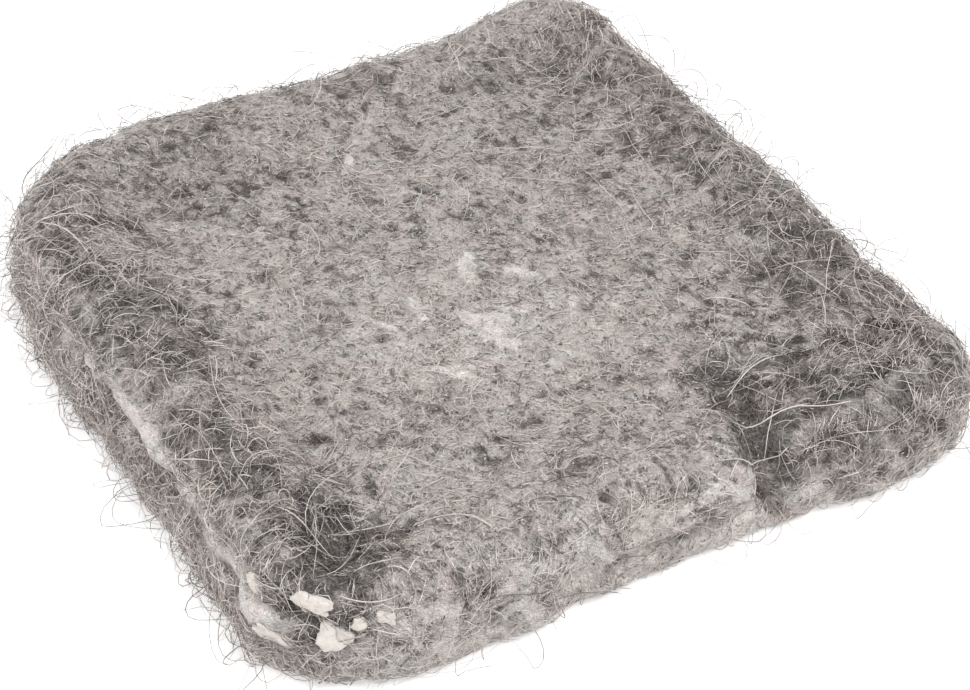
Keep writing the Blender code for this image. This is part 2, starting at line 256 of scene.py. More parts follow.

# Slow patches of painted shade on the top, and of painted light where the change is above 0: place along X
# and Y, reach, change of tone
LIGHT_AND_SHADE_PATCHES = (
    (0.0165, 0.0125, 0.0085, -0.10),
    (0.0080, 0.0200, 0.0060, -0.08),
    (0.0250, 0.0090, 0.0060, -0.17),
    (0.0200, 0.0190, 0.0045, -0.10),
    (-0.0050, 0.0200, 0.0060, -0.18),
    (-0.0255, -0.0165, 0.0075, -0.36),
    (-0.0160, -0.0135, 0.0045, -0.10),
    (-0.0215, -0.0300, 0.0070, -0.10),
    (-0.0270, 0.0080, 0.0070, -0.14),
    (-0.0320, 0.0020, 0.0050, -0.10),
    (-0.0040, -0.0290, 0.0070, -0.28),
    (0.0345, 0.0032, 0.0036, -0.14),
    (0.0345, 0.0150, 0.0055, -0.06),
    (0.0325, -0.0130, 0.0045, -0.08),
    (0.0330, -0.0285, 0.0050, -0.28),
    (0.0175, 0.0262, 0.0050, -0.18),
    (0.0265, 0.0275, 0.0045, -0.12),
    (-0.0030, -0.0090, 0.0050, 0.03),
    (0.0130, -0.0075, 0.0045, 0.14),
)

# Loose streak behind the fold edge's rim, painted dark as shade: its start and end, and how far it reaches
STREAK = ((0.0100, -0.0318), (0.0300, -0.0243))
STREAK_REACH = 0.0026

# Pale line of soap along the fold edge: place along X and height
SOAP_LINE = (
    (-0.0116, 0.0070),
    (-0.0050, 0.0071),
    (0.0025, 0.0085),
    (0.0104, 0.0085),
    (0.0130, 0.0072),
    (0.0207, 0.0068),
    (0.0270, 0.0063),
    (0.0297, 0.0054),
)

# Long strands that stand out on their own: start and end along X and Y, sideways bow
NAMED_STRANDS = (
    (0.0227, -0.0295, 0.0297, -0.0268, 0.0004),
    (0.0349, 0.0060, 0.0362, 0.0127, -0.0003),
    (0.0341, -0.0292, 0.0363, -0.0242, -0.0011),
    (0.0023, -0.0254, 0.0062, -0.0271, 0.0001),
    (0.0001, -0.0309, 0.0021, -0.0299, 0.0001),
    (-0.0061, -0.0318, -0.0049, -0.0292, 0.0002),
    (-0.0019, -0.0255, -0.0028, -0.0245, 0.0001),
    (0.0001, -0.0257, 0.0009, -0.0238, -0.0002),
    (0.0061, -0.0268, 0.0056, -0.0248, 0.0002),
    (0.0124, -0.0309, 0.0133, -0.0292, 0.0001),
    (0.0183, -0.0305, 0.0193, -0.0293, 0.0000),
    (0.0339, -0.0246, 0.0352, -0.0229, 0.0002),
    (0.0350, -0.0233, 0.0338, -0.0212, 0.0002),
    (-0.0134, 0.0215, -0.0108, 0.0269, -0.0006),
    (0.0280, 0.0116, 0.0262, 0.0190, 0.0005),
    (0.0312, 0.0096, 0.0335, 0.0170, -0.0006),
    (0.0330, 0.0150, 0.0352, 0.0202, -0.0004),
    (0.0207, 0.0266, 0.0251, 0.0240, 0.0003),
    (0.0156, 0.0170, 0.0190, 0.0205, 0.0005),
    (-0.0236, -0.0322, -0.0190, -0.0270, 0.0004),
    (-0.0236, -0.0322, -0.0230, -0.0262, -0.0006),
    (-0.0236, -0.0322, -0.0150, -0.0300, 0.0006),
    (0.0120, -0.0112, 0.0160, -0.0070, 0.0003),
    (0.0208, -0.0155, 0.0235, -0.0190, 0.0004),
)

# Lamps: name, place, side, power
LAMPS = (
    ("key_lamp", (0.34, 0.10, 0.62), 0.34, 3.0),
    ("fill_lamp", (-0.26, -0.48, 0.36), 0.50, 1.8),
)

# Light of the surroundings on the pad, and the floor's own glow where it is seen
WORLD_LIGHT = 0.45
FLOOR_GLOW = 0.42
FLOOR_HALF = 1.6

# Camera: what it looks at, its bearing and height in degrees, its distance and its lens
CAMERA_TARGET = (0.007903, -0.001192, 0.0054)
CAMERA_AZIMUTH = 61.05
CAMERA_ELEVATION = 39.185
CAMERA_DISTANCE = 0.22288
CAMERA_LENS = 90.3


class PadSizes(bpy.types.PropertyGroup):
    """Sizes and numbers of the pad's strands."""

    strand_width: bpy.props.FloatProperty(
        name="Strand width",
        description="Width of an ordinary strand of steel wool",
        default=0.000105, min=0.00004, max=0.0004, precision=6, unit="LENGTH",
    )
    matted_length: bpy.props.FloatProperty(
        name="Matted strand length",
        description="Length of a strand in the matted middle",
        default=0.0024, min=0.001, max=0.02, unit="LENGTH",
    )
    rim_length: bpy.props.FloatProperty(
        name="Rim strand length",
        description="Length of a strand on the loose rim and the sides",
        default=0.0029, min=0.002, max=0.03, unit="LENGTH",
    )
    long_length: bpy.props.FloatProperty(
        name="Long strand length",
        description="Length of a long strand that crosses the top",
        default=0.0062, min=0.002, max=0.03, unit="LENGTH",
    )
    stray_length: bpy.props.FloatProperty(
        name="Stray strand length",
        description="Length of a strand that stands out of the pad",
        default=0.0105, min=0.002, max=0.04, unit="LENGTH",
    )
    stray_rise: bpy.props.FloatProperty(
        name="Stray strand rise",
        description="How far a stray strand stands off the pad",
        default=0.0014, min=0.0, max=0.006, unit="LENGTH",
    )


class PadColours(bpy.types.PropertyGroup):
    """Colours of the pad and the stage."""

    steel: bpy.props.FloatVectorProperty(
        name="Steel",
        description="Colour of clean steel wool",
        default=(0.690, 0.646, 0.626), min=0.0, max=1.0, subtype="COLOR",
    )
    # Dark steel is also the colour of the painted shade in deep gaps.
    dark_steel: bpy.props.FloatVectorProperty(
        name="Dark steel",
        description="Colour of dull strands and of deep gaps",
        default=(0.122, 0.111, 0.106), min=0.0, max=1.0, subtype="COLOR",
    )
    soap: bpy.props.FloatVectorProperty(
        name="Soap",
        description="Colour of the dried soap",
        default=(0.86, 0.815, 0.790), min=0.0, max=1.0, subtype="COLOR",
    )
    warm_tint: bpy.props.FloatVectorProperty(
        name="Warm tint",
        description="Tint of the wool where it has begun to rust",
        default=(1.0, 0.955, 0.93), min=0.0, max=1.0, subtype="COLOR",
    )
    cool_tint: bpy.props.FloatVectorProperty(
        name="Cool tint",
        description="Tint of the wool where it is clean",
        default=(0.975, 0.98, 0.968), min=0.0, max=1.0, subtype="COLOR",
    )
    floor: bpy.props.FloatVectorProperty(
        name="Floor",
        description="Colour of the floor and the background",
        default=(0.93, 0.93, 0.93), min=0.0, max=1.0, subtype="COLOR",
    )


def swell(distance, spread):
    """Bell shape: 1 at no distance, falling away over the spread."""
    return np.exp(-(np.asarray(distance) / spread) ** 2)


def fade(value, start, end):
    """Smooth step from 0 at start to 1 at end."""
    share = np.clip((np.asarray(value) - start) / (end - start), 0.0, 1.0)
    return share * share * (3.0 - 2.0 * share)


def outline_path():
    """Rounded rectangle, anticlockwise from the end face's roll corner: lengths, points, normals."""
    half = np.array([PAD_LENGTH, PAD_WIDTH]) / 2.0
    corners = (
        ((1.0, 1.0), END_ROLL_CORNER, 0.0),
        ((-1.0, 1.0), BACK_ROLL_CORNER, 90.0),
        ((-1.0, -1.0), BACK_FOLD_CORNER, 180.0),
        ((1.0, -1.0), END_FOLD_CORNER, 270.0),
    )
    points = []
    normals = []
    for signs, radius, start in corners:
        centre = np.array(signs) * (half - radius)
        angles = np.radians(start + np.linspace(0.0, 90.0, ARC_STEPS + 1))
        spokes = np.stack([np.cos(angles), np.sin(angles)], axis=1)
        points.append(centre + radius * spokes)
        normals.append(spokes)
    points = np.concatenate(points)
    normals = np.concatenate(normals)
    points = np.vstack([points, points[:1]])
    normals = np.vstack([normals, normals[:1]])
    steps = np.linalg.norm(np.diff(points, axis=0), axis=1)
    lengths = np.concatenate([[0.0], np.cumsum(steps)])
    return lengths, points, normals


PATH_LENGTHS, PATH_POINTS, PATH_NORMALS = outline_path()
GIRTH = PATH_LENGTHS[-1]
GROOVE_Y = PAD_WIDTH / 2.0 - LOBE_WIDTH


def along_path(station, values):
    """Read a list kept along the outline at any distance around it."""
    wrapped = np.mod(station, GIRTH)
    return np.stack([np.interp(wrapped, PATH_LENGTHS, values[:, axis]) for axis in (0, 1)], axis=-1)


def corner_station(number):
    """Distance around the outline to the middle of one of its four corners."""
    middles = []
    for corner in range(4):
        first = corner * (ARC_STEPS + 1)
        middles.append(0.5 * (PATH_LENGTHS[first] + PATH_LENGTHS[first + ARC_STEPS]))
    return middles[number % 4] + GIRTH * (number // 4)


def side_bow(points):
    """How far each side stands out of the rounded rectangle."""
    x = points[..., 0]
    y = points[..., 1]
    beside_end = fade(x, PAD_LENGTH / 2.0 - BOW_SPREAD, PAD_LENGTH / 2.0)
    beside_back = fade(-x, PAD_LENGTH / 2.0 - BOW_SPREAD, PAD_LENGTH / 2.0)
    beside_roll = fade(y, PAD_WIDTH / 2.0 - BOW_SPREAD, PAD_WIDTH / 2.0)
    beside_fold = fade(-y, PAD_WIDTH / 2.0 - BOW_SPREAD, PAD_WIDTH / 2.0)
    bow = BOW_END * beside_end * swell(y, BOW_SPREAD)
    bow += BOW_BACK * beside_back * swell(y + BOW_SPREAD, BOW_SPREAD)
    bow += BOW_FOLD * beside_fold * swell(x + BOW_SPREAD / 2.0, BOW_SPREAD)
    bow += BOW_ROLL * beside_roll * swell(x, BOW_SPREAD)
    return bow


def outline_lumps(station):
    """Small unevenness of the outline."""
    turn = 2.0 * math.pi * np.asarray(station) / GIRTH
    return OUTLINE_LUMP * sum(share * np.sin(count * turn + start) for count, start, share in OUTLINE_WAVES)


def edge_overlap(x, y):
    """Radius of the nearest corner, and how far a place lies past that corner's centre."""
    radius = np.where(
        x > 0.0,
        np.where(y > 0.0, END_ROLL_CORNER, END_FOLD_CORNER),
        np.where(y > 0.0, BACK_ROLL_CORNER, BACK_FOLD_CORNER),
    )
    over_x = np.abs(x) - PAD_LENGTH / 2.0 + radius
    over_y = np.abs(y) - PAD_WIDTH / 2.0 + radius
    return radius, over_x, over_y


def edge_inset(x, y):
    """Distance inwards from the rounded rectangle's edge."""
    radius, over_x, over_y = edge_overlap(x, y)
    outside = np.hypot(np.maximum(over_x, 0.0), np.maximum(over_y, 0.0))
    inside = np.minimum(np.maximum(over_x, over_y), 0.0)
    return radius - outside - inside


def rim_rise(x, y):
    """Height of the puffed rim in the direction of each side."""
    bearing = np.arctan2(y / PAD_WIDTH, x / PAD_LENGTH)
    along_x = np.where(np.cos(bearing) > 0.0, RIM_RISE_END, RIM_RISE_BACK)
    along_y = np.where(np.sin(bearing) > 0.0, RIM_RISE_ROLL, RIM_RISE_FOLD)
    return along_x * np.cos(bearing) ** 2 + along_y * np.sin(bearing) ** 2


def lobe_crease(x, y):
    """Crease on the top that runs back from the groove beside the rolled lobe."""
    back = PAD_LENGTH / 2.0 - x
    line = GROOVE_Y + CREASE_DRIFT * fade(back, 0.0, CREASE_LENGTH)
    return CREASE_DEPTH * swell(y - line, CREASE_SPREAD) * (1.0 - fade(back, 0.0, CREASE_LENGTH))


def fold_crease(x, y):
    """Loose crease behind the rim of the fold edge, near the end face."""
    back = PAD_LENGTH / 2.0 - x
    reach = fade(back, 0.0, FOLD_CREASE_START)
    reach = reach * (1.0 - fade(back, FOLD_CREASE_START, FOLD_CREASE_START + FOLD_CREASE_LENGTH))
    line = -PAD_WIDTH / 2.0 + FOLD_CREASE_INSET
    return FOLD_CREASE_DEPTH * swell(y - line, FOLD_CREASE_SPREAD) * reach


def corner_pocket(x, y):
    """Hollow where the layers open beside the end face."""
    from_end = PAD_LENGTH / 2.0 - x - POCKET_FROM_END
    from_fold = PAD_WIDTH / 2.0 + y - POCKET_FROM_FOLD
    return POCKET_DEPTH * swell(from_end, POCKET_SPREAD_X) * swell(from_fold, POCKET_SPREAD_Y)


def corner_curl(x, y):
    """Curled-up corner: a raised lip along the corner, with a hollow behind it."""
    inset = edge_inset(x, y)
    from_back = x + PAD_LENGTH / 2.0
    from_roll = PAD_WIDTH / 2.0 - y
    middle = BACK_ROLL_CORNER * math.sqrt(0.5)
    near_lip = 1.0 - fade(np.hypot(from_back - middle, from_roll - middle), 0.0, 2.0 * CURL_REACH)
    near_hollow = swell(np.hypot(from_back - BACK_ROLL_CORNER, from_roll - BACK_ROLL_CORNER), CURL_REACH)
    lip = CURL_RISE * swell(inset - CURL_INSET, CURL_SPREAD) * near_lip
    return lip - CURL_HOLLOW * swell(inset - CURL_HOLLOW_INSET, CURL_HOLLOW_SPREAD) * near_hollow


def corner_lift(x, y):
    """How far the lobe's outer corner stands off the table, underside and all."""
    apart = np.hypot(PAD_LENGTH / 2.0 - x, PAD_WIDTH / 2.0 - y)
    return LIFT_RISE * (1.0 - fade(apart, 0.0, LIFT_REACH))


def wave_sum(x, y, waves):
    """Sum of waves across the plan, each with its own share."""
    total = 0.0
    for length_x, length_y, start, share in waves:
        total = total + share * np.sin(2.0 * math.pi * (x / length_x + y / length_y) + start)
    return total


def top_lumps(x, y):
    """Slow unevenness of the pressed top."""
    return TOP_LUMP * wave_sum(x, y, TOP_WAVES)


def tufts(x, y):
    """Rise of the tufts: several waves across the plan, weaker in the pressed middle."""
    strength = 1.0 - (1.0 - TUFT_MIDDLE_SHARE) * fade(edge_inset(x, y), 0.0, TUFT_RIM_INSET)
    return TUFT_RISE * strength * wave_sum(x, y, TUFT_WAVES)


def pad_height(x, y):
    """Height of the pad's top above its underside."""
    height = CENTRE_THICKNESS + top_lumps(x, y) + tufts(x, y)
    height = height + rim_rise(x, y) * swell(edge_inset(x, y) - RIM_INSET, RIM_SPREAD)
    height = height + corner_curl(x, y)
    return height - lobe_crease(x, y) - fold_crease(x, y) - corner_pocket(x, y)


def wall_push(points, height):
    """How far the grooves and seams press the edge inwards."""
    x = points[..., 0]
    y = points[..., 1]
    beside_fold = fade(-y, PAD_WIDTH / 2.0 - SEAM_FADE, PAD_WIDTH / 2.0 - SEAM_FADE / 2.0)
    beside_end = fade(x, PAD_LENGTH / 2.0 - SEAM_FADE, PAD_LENGTH / 2.0 - SEAM_FADE / 2.0)
    seam = SEAM_DEPTH * beside_fold * swell(height - SEAM_HEIGHT, SEAM_SPREAD)
    gaps = 0.5 + 0.5 * np.cos(2.0 * math.pi * y / LAYER_GAP_PITCH)
    layer = (LAYER_DEPTH + LAYER_GAP_DEPTH * gaps) * beside_end * swell(y, LAYER_REACH)
    layer = layer * swell(height - LAYER_HEIGHT, LAYER_SPREAD)
    rising = fade(height, 0.0, 2.0 * LOWER_EDGE_RADIUS)
    groove = GROOVE_DEPTH * beside_end * swell(y - GROOVE_Y, GROOVE_SPREAD) * rising
    return seam + layer + groove


def edge_height():
    """Height of the edge on which the rows up its side are spaced."""
    return CENTRE_THICKNESS + max(RIM_RISE_ROLL, RIM_RISE_FOLD) / 2.0


def skin(station, inset, share, level):
    """A point of the pad's skin.

    The outline's point at this distance around is moved inwards by the inset, then
    drawn towards the middle by the share. The level runs from 0 on the underside to
    1 on the top.
    """
    points = along_path(station, PATH_POINTS)
    normals = along_path(station, PATH_NORMALS)
    out = side_bow(points) + outline_lumps(station)
    edge = points + normals * (out - inset)[..., None]
    height = level * pad_height(edge[..., 0] * share, edge[..., 1] * share)
    push = wall_push(points, height) * fade(share, 0.8, 1.0)
    plan = (edge - normals * push[..., None]) * np.asarray(share)[..., None]
    height = level * pad_height(plan[..., 0], plan[..., 1]) + corner_lift(plan[..., 0], plan[..., 1])
    return np.concatenate([plan, height[..., None]], axis=-1)


def frame_shift():
    """Offset between the middle of the form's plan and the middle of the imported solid's box."""
    stations = np.linspace(0.0, GIRTH, 1400, endpoint=False)
    level = np.full(stations.shape, LOWER_EDGE_RADIUS / edge_height())
    ring = skin(stations, 0.0 * stations, 1.0 + 0.0 * stations, level)
    form_middle = (ring.max(axis=0) + ring.min(axis=0)) / 2.0
    solid_middle = (np.array(PAD_BOX[0]) + np.array(PAD_BOX[1])) / 2.0
    return np.array([form_middle[0] - solid_middle[0], form_middle[1] - solid_middle[1], 0.0])


SHIFT = frame_shift()
BEARINGS = np.unwrap(np.arctan2(PATH_POINTS[:, 1], PATH_POINTS[:, 0]))


def form_plan(spots):
    """Places of spots along X and Y in the form's own plan."""
    return spots[..., 0] + SHIFT[0], spots[..., 1] + SHIFT[1]


def skin_row(station, inset, share, level):
    """A closed row of points of the pad's skin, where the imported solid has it."""
    flat = np.zeros(station.shape)
    return skin(station, flat + inset, flat + share, flat + level) - SHIFT


def nearest_outline(x, y):
    """The outline's point next to a place, the place's distance inside it and its station."""
    over_x, over_y = edge_overlap(x, y)[1:]
    both = (over_x > 0.0) & (over_y > 0.0)
    length = np.maximum(np.hypot(over_x, over_y), 1e-9)
    normal_x = np.where(both, over_x / length, (over_x >= over_y) * 1.0) * np.sign(x)
    normal_y = np.where(both, over_y / length, (over_x < over_y) * 1.0) * np.sign(y)
    inset = edge_inset(x, y)
    points = np.stack([x + normal_x * inset, y + normal_y * inset], axis=-1)
    bearing = np.arctan2(points[..., 1], points[..., 0])
    bearing = BEARINGS[0] + np.mod(bearing - BEARINGS[0], 2.0 * math.pi)
    return points, inset, np.interp(bearing, BEARINGS, PATH_LENGTHS)


def skin_gap(spots):
    """How far spots lie outside the pad's skin, negative inside.

    The form is a box with its edges rounded by the upper and the lower radius, whose
    plan inset and whose height above the underside are both measured in the pad's own
    uneven form.
    """
    x, y = form_plan(spots)
    full = edge_height()
    rise = spots[..., 2] - corner_lift(x, y)
    height = rise / pad_height(x, y) * full
    points, inset, station = nearest_outline(x, y)
    inset = inset + side_bow(points) + outline_lumps(station) - wall_push(points, rise)
    over = UPPER_EDGE_RADIUS - inset
    above = height - full + UPPER_EDGE_RADIUS
    corner = (over > 0.0) & (above > 0.0)
    upper = np.where(corner, np.hypot(over, above), np.maximum(over, above)) - UPPER_EDGE_RADIUS
    over = LOWER_EDGE_RADIUS - inset
    below = LOWER_EDGE_RADIUS - height
    corner = (over > 0.0) & (below > 0.0)
    lower = np.where(corner, np.hypot(over, below), np.maximum(over, below)) - LOWER_EDGE_RADIUS
    return np.maximum(upper, lower)


def gap_and_slope(spots):
    """The gap at spots, and its slope along X, Y and Z by small steps."""
    gap = skin_gap(spots)
    slope = np.empty(spots.shape)
    for axis in range(3):
        moved = spots.copy()
        moved[..., axis] += SLOPE_STEP
        slope[..., axis] = (skin_gap(moved) - gap) / SLOPE_STEP
    return gap, slope


def unit(vectors):
    """Vectors brought to length 1."""
    return vectors / np.maximum(np.linalg.norm(vectors, axis=-1, keepdims=True), 1e-12)


def settle(spots, offset, rounds=2):
    """Move spots along the slope of the gap until it equals the offset: spots and normals."""
    for _ in range(rounds):
        gap, slope = gap_and_slope(spots)
        steep = np.maximum((slope**2).sum(axis=-1), 0.2)
        spots = spots - slope * ((gap - offset) / steep)[..., None]
    return spots, unit(slope)


def lattice_value(cell_x, cell_y, cell_z, seed):
    """A number from 0 to 1 for each cell corner, by mixing its three counts."""
    mask = 0xFFFFFFFF
    mixed = (cell_x * 73856093) ^ (cell_y * 19349663) ^ (cell_z * 83492791) ^ (seed * 2654435)
    mixed = mixed & mask
    mixed = ((mixed ^ (mixed >> 13)) * 1274126177) & mask
    mixed = mixed ^ (mixed >> 16)
    return (mixed & 0xFFFF) / 65535.0


def value_noise(spots, size, seed):
    """Smooth noise from 0 to 1: cell corner values blended by smooth steps along each axis."""
    place = spots / size
    cell = np.floor(place).astype(np.int64)
    part = place - cell
    part = part * part * (3.0 - 2.0 * part)
    total = 0.0
    for dx in (0, 1):
        for dy in (0, 1):
            for dz in (0, 1):
                weight = np.where(dx, part[..., 0], 1.0 - part[..., 0])
                weight = weight * np.where(dy, part[..., 1], 1.0 - part[..., 1])
                weight = weight * np.where(dz, part[..., 2], 1.0 - part[..., 2])
                value = lattice_value(cell[..., 0] + dx, cell[..., 1] + dy, cell[..., 2] + dz, seed)
                total = total + weight * value
    return total


def top_share(spots):
    """1 on the top face, 0 on the sides and the underside."""
    x, y = form_plan(spots)
    return fade(spots[..., 2], 0.0050, 0.0078) * fade(edge_inset(x, y), -0.0005, 0.0030)


def looseness(spots):
    """How loose the wool is: 0 where it is matted, 1 on the open rims."""
    x, y = form_plan(spots)
    ragged = 0.0060 * (value_noise(spots, 0.0060, 11) - 0.5) + 0.0040 * (value_noise(spots, 0.0022, 12) - 0.5)
    from_roll = PAD_WIDTH / 2.0 - y + ragged
    from_fold = PAD_WIDTH / 2.0 + y + ragged
    from_back = PAD_LENGTH / 2.0 + x + ragged
    from_end = PAD_LENGTH / 2.0 - x + ragged
    roll = 1.0 - fade(from_roll, 0.0050, 0.0150)
    fold = 0.9 * (1.0 - fade(from_fold, 0.0060, 0.0140))
    back = 0.6 * (1.0 - fade(from_back, 0.0030, 0.0110))
    lobe = 0.95 * (1.0 - fade(from_end, 0.0070, 0.0180)) * fade(y, GROOVE_Y - 0.0015, GROOVE_Y + 0.0020)
    loose = np.maximum(np.maximum(roll, fold), np.maximum(back, lobe))
    loose = np.maximum(loose, 0.8 * crease_share(spots))
    end = (1.0 - fade(from_end, 0.0020, 0.0070)) * (1.0 - fade(y, GROOVE_Y - 0.0020, GROOVE_Y))
    end = end * fade(y, -PAD_WIDTH / 2.0 + 0.007, -PAD_WIDTH / 2.0 + 0.012)
    return loose * (1.0 - 0.85 * end)


def shade_and_rust(spots):
    """Share of the rolled lobe and the roll side: 1 there, 0 elsewhere. Strands there are painted darker as
    shade and tinted towards rust.
    """
    x, y = form_plan(spots)
    ragged = 0.0050 * (value_noise(spots, 0.0040, 13) - 0.5)
    roll = 1.0 - fade(PAD_WIDTH / 2.0 - y + ragged, 0.0060, 0.0140)
    lobe = fade(x + ragged, 0.0200, 0.0290) * fade(y, GROOVE_Y - 0.0030, GROOVE_Y + 0.0010)
    return np.maximum(roll, lobe) * fade(spots[..., 2] + 0.3 * ragged, 0.0060, 0.0082)


def painted_wall_light(spots):
    """Painted light on the walls: most near their foot, where the floor bounces light, and on the fold edge;
    0 on the top.
    """
    y = spots[..., 1] + SHIFT[1]
    fold = fade(-y, PAD_WIDTH / 2.0 - 0.0035, PAD_WIDTH / 2.0 - 0.0010)
    fold = fold * (1.0 - fade(spots[..., 2], 0.0075, 0.0100))
    return np.maximum(fold, 1.0 - fade(spots[..., 2], 0.0015, 0.0060))


def crease_share(spots):
    """1 in the loose creases, which are painted darker as shade: beside the lobe, behind the fold edge's rim
    and in the corner pocket.
    """
    x, y = form_plan(spots)
    ragged = 0.0030 * (value_noise(spots, 0.0030, 14) - 0.5)
    lobe = lobe_crease(x, y + ragged) / CREASE_DEPTH
    start, end = np.array(STREAK)
    way = end - start
    share = np.clip(((spots[..., :2] - start) * way).sum(axis=-1) / (way * way).sum(), 0.0, 1.0)
    apart = spots[..., :2] - start - share[..., None] * way
    fold = swell(np.hypot(apart[..., 0], apart[..., 1]) + 0.5 * ragged, STREAK_REACH)
    pocket = corner_pocket(x, y) / POCKET_DEPTH
    return np.maximum(lobe, np.maximum(fold, pocket)) * fade(spots[..., 2], 0.0050, 0.0075)


def light_and_shade_patches(spots):
    """Change of tone by the slow patches of painted shade and painted light on the top."""
    total = np.zeros(spots.shape[:-1])
    for middle_x, middle_y, reach, change in LIGHT_AND_SHADE_PATCHES:
        total = total + change * swell(np.hypot(spots[..., 0] - middle_x, spots[..., 1] - middle_y), reach)
    return total * fade(spots[..., 2], 0.0040, 0.0070)


def curl_share(spots):
    """1 on the thin tip of the curled corner, where light comes through."""
    apart_x = spots[..., 0] + SHIFT[0] + PAD_LENGTH / 2.0 - 0.0050
    apart_y = spots[..., 1] + SHIFT[1] - PAD_WIDTH / 2.0 + 0.0090
    return swell(np.hypot(apart_x, apart_y), 0.0070) * fade(spots[..., 2], 0.0085, 0.0115)


def pale_middle(spots):
    """How pale the top is with soap around its middle, from 0 to 1."""
    apart = np.hypot(spots[..., 0] - PALE_MIDDLE[0], (spots[..., 1] - PALE_MIDDLE[1]) / 1.25)
    cloudy = value_noise(spots, 0.0050, 54) - 0.5
    return swell(apart * (1.0 + 0.5 * cloudy), PALE_REACH) * top_share(spots)


def end_band(spots):
    """1 on the pale end face below its lip, short of the lobe, with a ragged upper edge."""
    x, y = form_plan(spots)
    ragged = 0.0016 * (value_noise(spots, 0.0032, 57) - 0.5) + 0.0010 * (value_noise(spots, 0.0010, 58) - 0.5)
    lower = 0.0024 * fade(y, GROOVE_Y - 0.0008, GROOVE_Y + 0.0008)
    below = 1.0 - fade(spots[..., 2] + ragged + lower, 0.0072, 0.0090)
    end = fade(x, PAD_LENGTH / 2.0 - 0.0065, PAD_LENGTH / 2.0 - 0.0030)
    return end * below * fade(y, -PAD_WIDTH / 2.0 + 0.005, -PAD_WIDTH / 2.0 + 0.010)


def end_ropes(spots):
    """Slanted ropes of wool on the end wall and on the lobe's face: from -0.5 to 0.5. They raise the body's
    relief and carry painted highlights on the ropes and painted shade between them.
    """
    x = spots[..., 0] + SHIFT[0]
    leaning = spots * np.array([1.0, 1.0, 0.40]) + spots[..., [2, 2, 2]] * np.array([0.0, 0.45, 0.0])
    ropes = 0.6 * value_noise(leaning, 0.0011, 63) + 0.4 * value_noise(leaning, 0.0005, 64) - 0.5
    wall = fade(x, PAD_LENGTH / 2.0 - 0.0060, PAD_LENGTH / 2.0 - 0.0030) * (1.0 - 0.7 * top_share(spots))
    return ropes * wall


def soap_film(spots):
    """Where soap fills the wool up to its skin, from 0 to 1.

    Named smears and the line along the fold edge, torn patches that thin out away from
    the pale middle, and closer patches on the end face.
    """
    y = spots[..., 1] + SHIFT[1]
    cloudy = 0.35 * value_noise(spots, 0.0026, 51) + 0.40 * value_noise(spots, 0.0012, 52)
    cloudy = cloudy + 0.25 * value_noise(spots, 0.0006, 53)
    strength = 0.35 + 0.60 * pale_middle(spots)
    middle = strength * (1.0 - looseness(spots)) * fade(cloudy, 0.42, 0.64)
    slanted = value_noise(spots * np.array([1.0, 1.0, 0.45]) + spots[..., [2, 2, 2]] * 0.5, 0.0016, 59)
    lobe_face = 0.9 * fade(0.5 * cloudy + 0.5 * slanted, 0.42, 0.56)
    face = np.where(y < GROOVE_Y - 0.0004, fade(cloudy, 0.30, 0.52), lobe_face)
    film = np.maximum(middle, end_band(spots) * face)
    return np.maximum(film, np.maximum(soap_line(spots), soap_smears(spots)))


def soap_line(spots):
    """Pale line of soap along the fold edge."""
    x, y = form_plan(spots)
    line_x, line_z = np.array(SOAP_LINE).T
    apart = spots[..., 2] - np.interp(x, line_x, line_z) + 0.0010 * (value_noise(spots, 0.0030, 31) - 0.5)
    reach = fade(x, line_x[0] - 0.004, line_x[0] + 0.004) * (1.0 - fade(x, line_x[-1], line_x[-1] + 0.002))
    beside = fade(-y, PAD_WIDTH / 2.0 - 0.0062, PAD_WIDTH / 2.0 - 0.0040)
    patchy = fade(value_noise(spots, 0.0017, 32), 0.10, 0.42)
    return fade(swell(apart, 0.00072), 0.25, 0.70) * reach * beside * patchy


def soap_smears(spots):
    """Soft smears of soap on the top."""
    x = spots[..., 0]
    y = spots[..., 1]
    total = np.zeros(x.shape)
    for middle_x, middle_y, length, breadth, bearing in SMEARS:
        along = (x - middle_x) * math.cos(bearing) + (y - middle_y) * math.sin(bearing)
        across = (y - middle_y) * math.cos(bearing) - (x - middle_x) * math.sin(bearing)
        total = np.maximum(total, swell(np.hypot(along / length, across / breadth), 1.0))
    torn = 0.55 + 0.45 * fade(value_noise(spots, 0.0010, 41), 0.25, 0.60)
    return fade(total * torn, 0.10, 0.60) * top_share(spots)


def soapiness(spots):
    """How pale the wool is with soap, from 0 to 1: its films, and a haze in the middle."""
    haze = (1.0 - looseness(spots)) * (0.06 + 0.80 * pale_middle(spots))
    return np.maximum(soap_film(spots), haze)


def pinholes(spots):
    """Small gaps a millimetre or so apart, dented in and painted dark as shade, from 0 to 1."""
    near = fade(value_noise(spots, 0.00068, 22), 0.64, 0.82) * (1.0 - 0.45 * pale_middle(spots))
    return near * (1.0 - 0.6 * soap_film(spots)) * (1.0 - 0.6 * looseness(spots))


def pit_depth(spots):
    """Depth of the small holes and of the slits between the layers, from 0 to 1."""
    ragged = 0.00060 * (value_noise(spots, 0.0008, 21) - 0.5)
    x = spots[..., 0] + ragged
    y = spots[..., 1] - ragged
    total = np.zeros(x.shape)
    for middle_x, middle_y, radius in PITS:
        total = np.maximum(total, swell(np.hypot(x - middle_x, y - middle_y), radius))
    total = total * top_share(spots)
    beside = fade(x, PAD_LENGTH / 2.0 - 0.0060, PAD_LENGTH / 2.0 - 0.0030)
    for middle_y, middle_z, length, height in END_SLITS:
        apart = np.hypot((y - middle_y) / length, (spots[..., 2] - middle_z) / height)
        total = np.maximum(total, swell(apart, 1.0) * beside)
    return total


